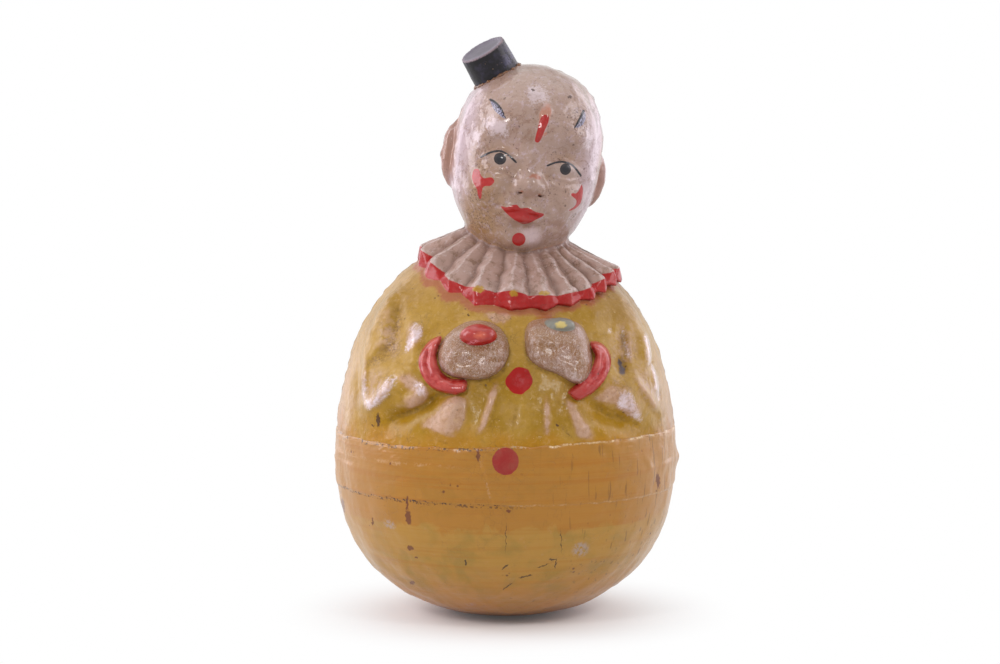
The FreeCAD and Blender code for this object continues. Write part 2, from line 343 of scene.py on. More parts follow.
@dataclass
class Torso(Ground):
    """Body above the joint: full at the belly and flatter from front to back towards the neck."""

    radius: float = BELLY_RADIUS
    joint: float = JOINT
    rise: float = 93.0
    power: float = 2.2
    flattening: float = 0.38
    top_share: float = 0.93

    def outline(self, height: Array, inset: float) -> tuple[Array, Array]:
        """Half width and half depth at heights.

        Args:
            height: heights to measure.
            inset: distance inwards from the outer surface.

        Returns:
            Half widths and half depths.
        """
        share = np.clip((height - self.joint) / (self.rise - inset), 0.0, self.top_share)
        out = (self.radius - inset) * (1 - share ** self.power) ** (1 / self.power)
        return out, out * (1 - self.flattening * share ** 2)

    def distance(self, points: Array, inset: float = 0.0) -> Array:
        """Distance to the torso, which also runs down below the joint as an upright wall.

        Args:
            points: places to measure.
            inset: distance inwards from the outer surface.

        Returns:
            Distances.
        """
        def level(places: Array) -> Array:
            """Level that is zero on the wall."""
            wide, deep = self.outline(places[:, 2], inset)
            return np.sqrt((places[:, 0] / wide) ** 2 + (places[:, 1] / deep) ** 2 + TINY) - 1
        top = points[:, 2] - (self.joint + self.top_share * (self.rise - inset))
        return np.maximum(as_distance(level, points), top)

    def front(self, across: float, height: float) -> float:
        """Place along y of the front surface."""
        wide, deep = self.outline(np.array([height]), 0.0)
        return -float(deep[0]) * math.sqrt(max(0.0, 1 - (across / float(wide[0])) ** 2))

    def seat(self, across: float, height: float, proud: float = 0.0) -> tuple[Array, Array]:
        """Point on, or over, the front surface, and axes square to it.

        Args:
            across: sideways place.
            height: its height.
            proud: distance over the surface.

        Returns:
            The point, and three rows of directions.
        """
        step = 0.5
        slope_x = (self.front(across + step, height) - self.front(across - step, height)) / (2 * step)
        slope_z = (self.front(across, height + step) - self.front(across, height - step)) / (2 * step)
        out = unit(np.array([slope_x, -1.0, slope_z]))
        side = unit(np.cross(out, np.array([0.0, 0.0, 1.0])) * -1)
        axes = np.array([side, out, np.cross(side, out)])
        if axes[2, 2] < 0:
            axes[2] *= -1
        return np.array([across, self.front(across, height), height]) + out * proud, axes


@dataclass
class Head(Ground):
    """Skull, jaw and face, in a frame that leans to one side and turns a little."""

    centre: Triple = (8.4, -0.8, 189.0)
    half: Triple = (30.8, 30.5, 39.6)
    lean: float = 9.5
    turn: float = 4.5
    roundness: float = 2.15
    crown_power: float = 2.6
    jaw_power: float = 1.95
    chin_forward: float = 8.5

    def axes(self) -> Array:
        """Rows of the face's own directions: across, towards its back, up.

        Returns:
            Three rows of directions.
        """
        lean, turn = math.radians(self.lean), math.radians(self.turn)
        across = np.array([math.cos(lean), 0.0, -math.sin(lean)])
        up = np.array([math.sin(lean), 0.0, math.cos(lean)])
        back = np.array([0.0, 1.0, 0.0])
        return np.array([
            across * math.cos(turn) + back * math.sin(turn),
            back * math.cos(turn) - across * math.sin(turn),
            up,
        ])

    def local(self, points: Array) -> Array:
        """Points in the face's own frame."""
        return (points - np.array(self.centre)) @ self.axes().T

    def skull(self, places: Array, inset: float = 0.0) -> Array:
        """Distance to skull and jaw, at places in the face's own frame.

        Args:
            places: places to measure.
            inset: distance inwards from the outer surface.

        Returns:
            Distances.
        """
        wide, deep, tall = (size - inset for size in self.half)

        def level(spots: Array) -> Array:
            """Level that is zero on the skull.

            Args:
                spots: places to measure.

            Returns:
                Levels.
            """
            low = np.maximum(-spots[:, 2], 0.0) / tall
            out = (spots[:, 1] + self.chin_forward * low ** 2) / deep
            across = np.sqrt((spots[:, 0] / wide) ** 2 + out ** 2)
            power = np.where(spots[:, 2] > 0, self.crown_power, self.jaw_power)
            up = np.abs(spots[:, 2] / tall) ** power
            return (across ** self.roundness + up + TINY) ** (1 / self.roundness) - 1
        return as_distance(level, places)

    def front(self, across: float, up: float) -> float:
        """Depth of the skull's front surface in the face's own frame, by halving.

        Args:
            across: place across the face.
            up: place up the face.

        Returns:
            The depth.
        """
        far, near = 0.0, -60.0
        for _ in range(24):
            middle = (far + near) / 2
            if self.skull(np.array([[across, middle, up]]))[0] < 0:
                far = middle
            else:
                near = middle
        return (far + near) / 2

    def seat(self, across: float, up: float, proud: float = 0.0) -> tuple[Array, Array]:
        """Point on the face and axes square to it, in the face's own frame.

        Args:
            across: place across the face.
            up: place up the face.
            proud: distance over the surface.

        Returns:
            The point, and three rows of directions.
        """
        spot = np.array([[across, self.front(across, up), up]])
        out = unit(gradient(self.skull, spot))[0]
        side = unit(np.cross(np.array([0.0, 0.0, 1.0]), out) * -1)
        if side[0] < 0:
            side = -side
        rise = np.cross(side, -out)
        if rise[2] < 0:
            rise = -rise
        return spot[0] + out * proud, np.array([side, out, rise])

    def features(self) -> list[Lump]:
        """Everything pressed in the face, from the large forms to the small ones.

        Returns:
            The forms, in the order in which they are blended.
        """
        relief = self.relief
        forms = [
            relief((0.3, 17.5), (21, 15), 1.4, blend=7, thick=15),
            relief((-12.5, 13.5), (8.5, 6), 1, -14, 4, 7),
            relief((14, 13.5), (8.5, 6), 1, 14, 4, 7),
            relief((0, -19), (11, 8.5), 1.9, blend=4, thick=8),
            relief((0, -31.5), (8.5, 6), 2, blend=3.5, thick=6),
        ]
        for side in (-1, 1):
            forms += [
                relief((side * 13.8, 5), (9.5, 4.8), -1.3, side * 6, 4.5, 6),
                relief((side * 15, -12.8), (10.5, 9), 2.3, side * -10, 4.5, 8),
                relief((0.3 + side * 13.6, -0.7), (7.3, 3.9), 1, side * 3, 1.4, 3.2),
            ]
        forms += [
            relief((0.4, -2), (3.4, 9), 2, blend=3.5, thick=5),
            relief((0.8, -8), (5, 4.4), 5, blend=3, thick=6.5),
        ]
        for side in (-1, 1):
            forms += [
                relief((0.9 + side * 4.5, -9.9), (2.8, 2.5), 3, blend=2.2, thick=4.5),
                relief((1.0 + side * 3.6, -11.9), (1.2, 0.6), -0.1, side * 12, 1, 1.6),
            ]
        return forms + [
            relief((-4, -18.2), (5.8, 2.1), 2.9, -6, 1.2),
            relief((2.3, -18.5), (5.8, 2.1), 2.9, 6, 1.2),
            relief((-0.5, -22), (6.2, 2.7), 3.3, blend=1.2),
        ]

    def trails(self) -> list[Trail]:
        """Lines of the face: lids, folds beside the nose, mouth, lip and chin, forehead drop and brows.

        Returns:
            The lines.
        """
        return [
            Trail(((-21, -1.6), (-17.6, 1.6), (-13.6, 3.2), (-10, 2.3), (-6.6, 0.2)), (0.7, 0.7), 0.4, 0.1),
            Trail(((6.2, 0.2), (9, 2.1), (12.9, 3.2), (17, 2.5), (22, -1.4)), (0.7, 0.7), 0.4, 0.1),
            Trail(((-20, -2.9), (-15, -4.6), (-10.6, -4.2), (-7.4, -1.8)), (0.7, 0.7), 0.6),
            Trail(((7.6, -1.8), (11.6, -4.2), (16.6, -4.6), (21.4, -3)), (0.7, 0.7), 0.6),
            Trail(((-7.6, -6.4), (-12, -7.8), (-16.5, -7.4)), (0.9, 0.9), 0.5),
            Trail(((8.6, -6.4), (13, -7.8), (17.5, -7.4)), (0.9, 0.9), 0.5),
            Trail(((-5.6, -7), (-8.2, -11), (-11.2, -15), (-12.4, -19.5)), (2.4, 2), -0.7),
            Trail(((7.2, -7), (9.8, -11), (12, -15), (12.8, -19.5)), (2.4, 2), -0.7),
            Trail(((-11, -18), (-10.4, -20.2)), (1.4, 1.4), -0.5),
            Trail(((9.6, -18.4), (9, -20.6)), (1.4, 1.4), -0.5),
            Trail(((0.6, -13), (-0.8, -17)), (1.1, 1.2), -0.5),
            Trail(((-5.6, -26.2), (0, -27.2), (5.6, -26.2)), (2.1, 2.1), -0.8),
            Trail(((2.2, 26), (2.6, 19.5), (0.8, 8.5)), (2.7, 1.5), 0.9, 0.15),
            Trail(((-20.4, 22.8), (-17.4, 20.2), (-13.6, 16.2)), (1.2, 0.9), 0.5),
            Trail(((17.9, 24), (17.2, 20.8), (15.2, 17.4)), (1.2, 0.9), 0.5),
        ]

    def ears(self) -> list[Lump]:
        """Two ears pressed half in each shell, with a shallow hollow in front.

        Returns:
            The ears and their hollows.
        """
        forms = []
        level = np.eye(3)
        for side, tall, up, proud in ((-1, 13.6, -2.0, 4.3), (1, 12.2, -4.0, 3.5)):
            wide, deep = 7.0, 4.6
            reach = side * (self.half[0] + proud - wide)
            axes = turned(level, side * 4.0)
            forms.append(Lump(np.array([reach, 3.2, up]), (wide, deep, tall), axes, 1.6))
            hollow = np.array([reach + side * 4.0, -1.8, up + 1.0])
            forms.append(Lump(hollow, (1.2, 0.9, tall * 0.45), axes, 1.6, taken=True))
        return forms


@dataclass
class Ruff:
    """Collar of folded pleats: the front ridges where the photo shows them, and even ones behind."""

    centre: float = 5.8
    radius: float = 41.8
    inner: float = 19.0
    side_height: float = 148.6
    front_drop: float = 10.8
    neck_rise: float = 11.0
    neck_drop: float = 5.0
    roll: float = 5.0
    neck_roll: float = 9.5
    depth: float = 1.7
    valley: float = 2.7
    point: float = 1.5
    front_ridges: Sequence[float] = (
        -94, -77, -59.5, -42.2, -24.1, -3.7, 13.6, 29.2, 42, 54.5, 67, 79.5, 92.5)
    lifts: Sequence[float] = (1.6, 1.6, 0.2, -2.0, 0.0, 2.4, 1.0, 0.4, 0.0, 1.0, 1.4, 0.6, 0.0)
    hems: Sequence[float] = (6.4, 7.0, 8.6, 10.2, 9.0, 10.2, 8.3, 7.2, 6.4, 6.8, 6.8, 6.6, 6.4)
    front_reach: float = 1.3
    back_pleats: int = 10

    def phase(self, points: Array) -> tuple[Array, Array, Array]:
        """Radius, degrees from the front, and place within a pleat as a share.

        Args:
            points: places to measure.

        Returns:
            Radii, angles, and places counted in pleats.
        """
        across = points[:, 0] - self.centre
        angle = np.degrees(np.arctan2(across, -points[:, 1])) + Ripple(9.0, 0.9, 21)(points)
        first, last = self.front_ridges[0], self.front_ridges[-1]
        angle = np.where(angle < first, angle + 360, angle)
        behind = np.linspace(last, first + 360, self.back_pleats + 1)[1:]
        ridges = np.concatenate([self.front_ridges, behind])
        return np.hypot(across, points[:, 1]), angle, np.interp(angle, ridges, np.arange(len(ridges)))

    def at_ridges(self, turn: Array, values: Sequence[float], behind: float) -> Array:
        """Values given at the front ridges, with one value behind, at places within the pleats."""
        row = [*values, *[behind] * (self.back_pleats - 1), values[0]]
        return np.interp(turn, np.arange(len(row)), row)

    def heights(self, points: Array, turn: Array) -> tuple[Array, Array, Array]:
        """Height of the rim's upper edge, height of the neck's ring, and how far a place faces the front.

        Args:
            points: places to measure.
            turn: places counted in pleats.

        Returns:
            Two heights, and shares from 0 to 1.
        """
        across = points[:, 0] - self.centre
        front = np.where(points[:, 1] < 0, 1.0, 0.85) * points[:, 1] ** 2
        front = front / np.maximum(across ** 2 + points[:, 1] ** 2, CLOSE)
        rim = self.side_height - self.front_drop * front - across * math.tan(math.radians(self.roll))
        rim = rim + self.at_ridges(turn, self.lifts, 0.0)
        neck = self.side_height + self.neck_rise - self.neck_drop * front
        neck = neck - across * math.tan(math.radians(self.neck_roll))
        return rim, neck, np.where(points[:, 1] < 0, front, 0.0)

    def distance(self, points: Array) -> Array:
        """Distance to the collar.

        Args:
            points: places to measure.

        Returns:
            Distances.
        """
        out, _, turn = self.phase(points)
        fold = 2 * np.abs(turn - np.round(turn))
        crease = 1 - 0.65 * np.abs(np.cos(math.pi * turn)) - 0.35 * (1 - fold)
        rim, neck, front = self.heights(points, turn)
        edge = self.radius + self.front_reach * front - self.depth * fold
        along = np.clip((out - self.inner) / (edge - self.inner), 0.0, 1.3)
        top = neck + (rim - neck) * along - self.valley * crease * (0.3 + 0.9 * along)
        slope = np.cos(np.arctan((neck - rim) / (self.radius - self.inner)))
        upper = (points[:, 2] - top) * slope
        lower = (rim - self.at_ridges(turn, self.hems, self.hems[0]) + self.point * fold - points[:, 2]) * 0.8
        wall = (out - edge + 0.2 * (points[:, 2] - rim)) * 0.9
        return smooth_meet(smooth_meet(upper, wall, 0.9), lower, 0.5)

    def red(self, points: Array) -> tuple[Array, Array]:
        """Depth below the edge of the red paint, positive on the red rim, and depth below the rim's ring.

        Args:
            points: places to measure.

        Returns:
            The two depths.
        """
        out, _, turn = self.phase(points)
        rim, _, front = self.heights(points, turn)
        crease = 1 - np.abs(np.cos(math.pi * turn))
        start = rim - 0.5 - front * (1.7 + 0.4 * crease) - 0.6 * crease
        return np.minimum(start - points[:, 2], out - self.radius + 7.5), rim - points[:, 2]


@dataclass(frozen=True)
class Pillow:
    """Form that stands on the front with a given outline, as seen from the front, and a rounded rim."""

    points: Ring
    height: float
    rounding: float
    fullness: float = 2.0
    spread: float = 0.0

    def distance(self, points: Array, base: Array) -> Array:
        """Distance to the form.

        Args:
            points: places to measure.
            base: distance of the same places to the surface it stands on.

        Returns:
            Distances.
        """
        low, high = np.min(self.points, axis=0) - 6.0, np.max(self.points, axis=0) + 6.0
        flat = points[:, [0, 2]]
        near = np.all((flat > low) & (flat < high), axis=1) & (points[:, 1] < 0)
        found = np.full(len(points), BEYOND)
        if near.any():
            gap = to_ring(self.points, points[near, 0], points[near, 2]) - self.spread
            depth = 1 - np.clip(-gap / self.rounding, 0.0, 1.0)
            rise = self.height * (1 - depth ** self.fullness) ** (1 / self.fullness)
            found[near] = base[near] + np.maximum(gap, 0.0) - rise
        return found


@dataclass
class Dress:
    """Sleeves, hands, cuffs, what the hands hold, and the folds of the coat, on the torso's front."""

    torso: Torso
    hands: Sequence[Pillow] = (
        Pillow(((-27, 114.8), (-25, 119), (-19.8, 123.8), (-13.2, 126.3), (-7.4, 126), (-2, 123.4),
                (0.9, 118.4), (0.9, 112.8), (-2.8, 107.4), (-8.8, 104.8), (-17, 104.6), (-23.4, 106.2),
                (-26.6, 109.8)), 6.6, 7, 2.1),
        Pillow(((7.9, 122), (7.9, 117), (9.6, 112.2), (14.6, 108.6), (20.6, 106.4), (25.4, 103.4),
                (29, 102.2), (32.6, 103.8), (34.4, 108.4), (34.4, 114), (32.4, 120.6), (29.2, 124.8),
                (22.6, 127), (14.2, 127.2), (9.4, 125.6)), 6.8, 7, 2.1),
    )
    cuffs: Sequence[Pillow] = (
        Pillow(((-26.7, 119.9), (-30.1, 118.2), (-33.1, 115.1), (-35, 111.6), (-34.8, 107.8), (-33, 104.4),
                (-29.9, 101.4), (-26.4, 99.7), (-21.8, 99), (-16.8, 99.7), (-15.9, 101.4), (-16.2, 103.6),
                (-21.6, 104), (-25, 105.8), (-27, 108.8), (-27.9, 112.3), (-27.6, 115.6), (-26.4, 118.4)),
               4.3, 2.6, 2.2, 0.3),
        Pillow(((34.4, 117.4), (37.2, 117.2), (40.2, 115), (42, 111.6), (42, 107.9), (40.3, 104.2),
                (37.3, 100.9), (33.6, 98.2), (29.3, 96.3), (26.7, 97.4), (25.2, 99.4), (28.2, 101.7),
                (31.7, 104.6), (34, 107.4), (35.6, 110.2), (36.1, 113), (35, 115.4)), 4.3, 2.6, 2.2, 0.3),
    )

    def trails(self) -> list[Trail]:
        """Creases and ridges of the coat and the sleeves.

        Returns:
            The lines.
        """
        return [
            Trail(((-42, 136), (-44.2, 126), (-45.2, 115)), (2.4, 3.2), -1.6, 0.35),
            Trail(((-43, 116), (-49, 113), (-55, 109)), (2.6, 1.8), -1.4, 0.4),
            Trail(((-38.5, 130), (-37, 120), (-37, 110)), (3.6, 3.4), 1.6, 0.4),
            Trail(((-57, 89.5), (-51, 96.5), (-44, 104)), (2, 2.4), 1.5, 0.3),
            Trail(((-57.2, 114), (-57.8, 97)), (1.8, 1.8), 0.9, 0.3),
            Trail(((-50, 84.5), (-39, 89.5), (-27.5, 96.8), (-20, 98)), (3, 2), -2.2, 0.3),
            Trail(((-38, 100), (-33, 91.5)), (5, 4), 1.5, 0.3),
            Trail(((-18.6, 98.5), (-21.8, 91), (-25.5, 80)), (2.4, 6.6), 2.1, 0.2),
            Trail(((-3, 104), (-6.3, 94), (-9.8, 83)), (1.3, 1.8), 1.3, 0.3),
            Trail(((4.4, 97), (2.8, 84)), (1.5, 1.5), -0.5, 0.3),
            Trail(((16.2, 98), (17, 83)), (1.1, 1.4), 0.8, 0.3),
            Trail(((25.4, 97.5), (28.3, 89.5), (32, 81)), (2, 3.7), 1.8, 0.2),
            Trail(((30, 95.5), (41, 88.5), (54, 83.5)), (3.4, 3.2), -2.1, 0.3),
            Trail(((46.6, 124), (48.2, 110)), (1.8, 2), -1.1, 0.35),
            Trail(((49.4, 122), (51.2, 107)), (1.3, 1.3), 1, 0.3),
            Trail(((45.2, 112), (48, 102.5)), (2.4, 2), -1.9, 0.35),
            Trail(((47, 103), (50.6, 94), (55, 86)), (3.4, 3.2), 1.8, 0.3),
            Trail(((49.6, 107.5), (57, 96.5), (65, 84.5)), (1.6, 1.6), 1, 0.3),
            Trail(((55.5, 122), (58.5, 107)), (2.6, 2.4), 1.1, 0.3),
            Trail(((60.2, 107.5), (62.6, 93)), (1.8, 1.8), 0.9, 0.3),
        ]

    def sleeves(self) -> list[Lump]:
        """Full sleeves: an upper arm down each side, and a forearm that widens towards the cuff.

        Returns:
            The forms.
        """
        relief = self.torso.relief
        return [
            relief((-50.5, 119), (9.5, 21), 2.4, -16, 6, 8),
            relief((-50, 98.5), (11.5, 11.5), 2.8, 0, 7, 9),
            relief((-39, 103.5), (14.5, 11.5), 3.8, -26, 5, 9),
            relief((52.5, 117), (9, 21), 2.2, 16, 6, 8),
            relief((53, 98), (11, 12), 2.6, 0, 7, 9),
            relief((44, 101.5), (13, 11.5), 3.6, 30, 5, 9),
        ]

    def held(self) -> tuple[Lump, Lump]:
        """Ball in one hand and worn knob in the other.

        Returns:
            The ball and the knob.
        """
        level = np.eye(3)
        return (Lump(np.array([-10.7, -57.2, 121.6]), (7.3, 6.9, 4.3), level, 0.3),
                Lump(np.array([21.5, -49.6, 124.8]), (6.2, 5.5, 2.9), level, 1.0))

    def palm_lines(self) -> list[Trail]:
        """Ridges where each palm turns to the front, the lip behind the ball, and the ends of the fingers.

        Returns:
            The lines.
        """
        return [
            Trail(((-25, 111.5), (-20, 116.2), (-12, 115.6), (-5, 115.4), (0, 117)), (2, 2), 0.9, 0.2),
            Trail(((-19.4, 120.4), (-15.6, 125), (-6.4, 125.2), (-1.8, 121)), (1.1, 1.1), 0.8, 0.2),
            Trail(((-6, 112.6), (0.6, 112)), (0.8, 0.8), -0.5),
            Trail(((-4, 109.2), (0, 108.6)), (0.8, 0.8), -0.4),
            Trail(((9.5, 121), (16, 119.4), (24, 119.4), (32, 120.6)), (2.2, 2), 0.9, 0.2),
            Trail(((29.5, 118), (31, 109)), (1.4, 1.4), 0.7, 0.3),
            Trail(((-22.4, 110.4), (-15, 112), (-7, 109.6)), (1.2, 1), -0.25),
            Trail(((14, 112.4), (20.6, 114.8), (27, 111)), (1.2, 1), -0.25),
            Trail(((12.4, 119.2), (18, 116.6), (25, 117.6)), (1.2, 1), -0.2),
        ]

    def cuff_lines(self) -> list[Trail]:
        """Groove along the middle of each cuff.

        Returns:
            The lines.
        """
        return [
            Trail(((-27.4, 118.6), (-30.9, 115.2), (-31.7, 110.6), (-30.3, 105.8), (-26.6, 102.6),
                   (-22, 101.8)), (0.75, 0.75), -0.9),
            Trail(((35.8, 116.6), (38.6, 113.4), (38.9, 108.6), (36.6, 104.2), (32.2, 100.8), (28.6, 99)),
                  (0.75, 0.75), -0.8),
        ]


@dataclass
class Figure:
    """The whole pressed figure, outside and inside."""

    torso: Torso = field(default_factory=Torso)
    head: Head = field(default_factory=Head)
    ruff: Ruff = field(default_factory=Ruff)
    wall: float = WALL
    neck_radius: float = 21.5
    neck_x: float = 4.6
    neck_low: float = 141.0
    neck_high: float = 172.0
    flash: float = 0.28
    flash_width: float = 0.7
    folds: float = 1.35
    coat_high: float = 140.0
    hands_low: float = 88.0
    hands_high: float = 136.0
    ruff_low: float = 120.0
    ruff_middle: float = 145.0
    ruff_half: float = 14.0

    def __post_init__(self) -> None:
        """Prepares what is the same at every point."""
        self.dress = Dress(self.torso)
        self.sleeve_forms = self.dress.sleeves()
        self.ball, self.knob = self.dress.held()
        self.face_forms = self.head.features() + self.head.ears()
        self.face_trails = self.head.trails()
        self.swell = (Ripple(16, 0.2, 3), Ripple(6, 0.085, 4), Ripple(2.6, 0.032, 5), Ripple(1.5, 0.012, 6))

    def neck(self, points: Array, inset: float = 0.0) -> Array:
        """Distance to the short neck.

        Args:
            points: places to measure.
            inset: distance inwards from the outer surface.

        Returns:
            Distances.
        """
        out = np.hypot(points[:, 0] - self.neck_x, points[:, 1]) - (self.neck_radius - inset)
        ends = np.maximum(self.neck_low - points[:, 2], points[:, 2] - self.neck_high)
        return np.maximum(out, ends)

    def coat(self, points: Array) -> tuple[Array, Array]:
        """Distance to torso with sleeves and folds, and to the plain torso.

        Args:
            points: places to measure.

        Returns:
            Distances to the coat, and to the plain torso.
        """
        plain = self.torso.distance(points)
        values = plain.copy()
        for form in self.sleeve_forms:
            form.shape(values, points)
        front = (points[:, 1] < 0) & (points[:, 2] < self.coat_high) & (np.abs(values) < 20)
        across, up = points[front, 0], points[front, 2]
        fade = np.clip(-points[front, 1] / 12.0, 0.0, 1.0)
        rise = sum(trail.rise(across, up) for trail in self.dress.trails())
        values[front] -= self.folds * rise * fade
        return values, plain

    def raised(self, forms: Sequence[Pillow], lines: Sequence[Trail], points: Array, plain: Array,
               reach: float, fade: float) -> Array:
        """Distance to forms on the front that have lines of their own.

        Args:
            forms: the forms.
            lines: ridges and grooves on them.
            points: places to measure.
            plain: distance of the same places to the plain torso.
            reach: distance up to which the lines are followed.
            fade: distance over which they fade out.

        Returns:
            Distances.
        """
        values = np.min([form.distance(points, plain) for form in forms], axis=0)
        near = values < reach
        rise = sum(line.rise(points[near, 0], points[near, 2]) for line in lines)
        values[near] -= rise * np.exp(-np.abs(values[near]) / fade)
        return values

    def hands(self, points: Array, plain: Array) -> Array:
        """Distance to both hands, at points whose distance to the plain torso is given."""
        return self.raised(self.dress.hands, self.dress.palm_lines(), points, plain, 20.0, 4.0)

    def cuffs(self, points: Array, plain: Array) -> Array:
        """Distance to both cuffs, at points whose distance to the plain torso is given."""
        return self.raised(self.dress.cuffs, self.dress.cuff_lines(), points, plain, 8.0, math.inf)

    def face(self, places: Array) -> Array:
        """Distance to the whole head, at places in the face's own frame.

        Args:
            places: places to measure.

        Returns:
            Distances.
        """
        values = self.head.skull(places)
        for form in self.face_forms:
            form.shape(values, places)
        front = (places[:, 1] < -8) & (np.abs(values) < 12)
        if front.any():
            across, up = places[front, 0], places[front, 2]
            values[front] -= sum(trail.rise(across, up) for trail in self.face_trails)
        return values

    def outside(self, points: Array) -> Array:
        """Distance to the outside of the figure.

        Args:
            points: places to measure.

        Returns:
            Distances.
        """
        values, plain = self.coat(points)
        values = smooth_union(values, self.neck(points), 2.0)
        front = (points[:, 1] < 0) & (points[:, 2] > self.hands_low) & (points[:, 2] < self.hands_high)
        if front.any():
            places = points[front]
            base = np.maximum(plain[front], values[front])
            own = smooth_union(values[front], self.hands(places, base), 2.2)
            own = smooth_union(own, self.ball.distance(places), 0.4)
            own = smooth_union(own, self.knob.distance(places), 0.8)
            values[front] = smooth_union(own, self.cuffs(places, base), 0.7)
        high = points[:, 2] > self.ruff_low
        if high.any():
            places = points[high]
            own = smooth_union(values[high], self.ruff.distance(places), 1.0)
            values[high] = smooth_union(own, self.face(self.head.local(places)), 1.4)
        near_ruff = 1 - np.abs(points[:, 2] - self.ruff_middle) / self.ruff_half
        calm = 1 - 0.6 * np.clip(near_ruff, 0.0, 1.0)
        for swell in self.swell:
            values += swell(points) * calm
        seam = np.exp(-(points[:, 1] / self.flash_width) ** 2)
        return values - self.flash * seam * (0.7 + Ripple(5.0, 0.7, 8)(points))

    def inside(self, points: Array) -> Array:
        """Distance to the hollow of the figure."""
        values = smooth_union(self.torso.distance(points, self.wall), self.neck(points, self.wall), 2.0)
        return smooth_union(values, self.head.skull(self.head.local(points), self.wall), 2.0)

    def marks(self, points: Array) -> dict[str, Array]:
        """Numbers that the finish reads at each point of the outside.

        Args:
            points: places on the outside.

        Returns:
            For each part, how much nearer it is than the rest; and distances to painted shapes.
        """
        coat, plain = self.coat(points)
        plain = np.maximum(plain, coat)
        far = np.full(len(points), BEYOND)
        places = self.head.local(points)
        own = {"coat": coat, "ruff": np.minimum(self.ruff.distance(points), self.neck(points)),
               "head": self.face(places)}
        front = points[:, 1] < 0.1
        own["hand"] = np.where(front, self.hands(points, plain), far)
        own["ball"] = np.where(front, self.ball.distance(points), far)
        own["knob"] = np.where(front, self.knob.distance(points), far)
        own["cuff"] = self.cuffs(points, plain)
        found = {}
        for name, values in own.items():
            others = np.min([other for key, other in own.items() if key != name], axis=0)
            found["on_" + name] = np.clip(others - values, -4.0, 4.0)
        for name, values in zip(("red_rim", "rim_depth"), self.ruff.red(points)):
            found[name] = np.clip(values, -4.0, 14.0)
        found["knob_spot"] = np.hypot((points[:, 0] - 22.0) / 2.2, (points[:, 2] - 125.5) / 1.3) - 1
        behind = np.where(front, 0.0, 30.0)
        shapes = FacePaint().masks(places[:, 0], places[:, 2])
        on_face = np.where((places[:, 1] < 0) & (found["on_head"] > -0.5), 0.0, 30.0)
        found.update({name: np.clip(values + on_face, -4.0, 8.0) for name, values in shapes.items()})
        shapes = CoatPaint().masks(points[:, 0], points[:, 2])
        found.update({name: np.clip(values + behind, -8.0, 8.0) for name, values in shapes.items()})
        return found


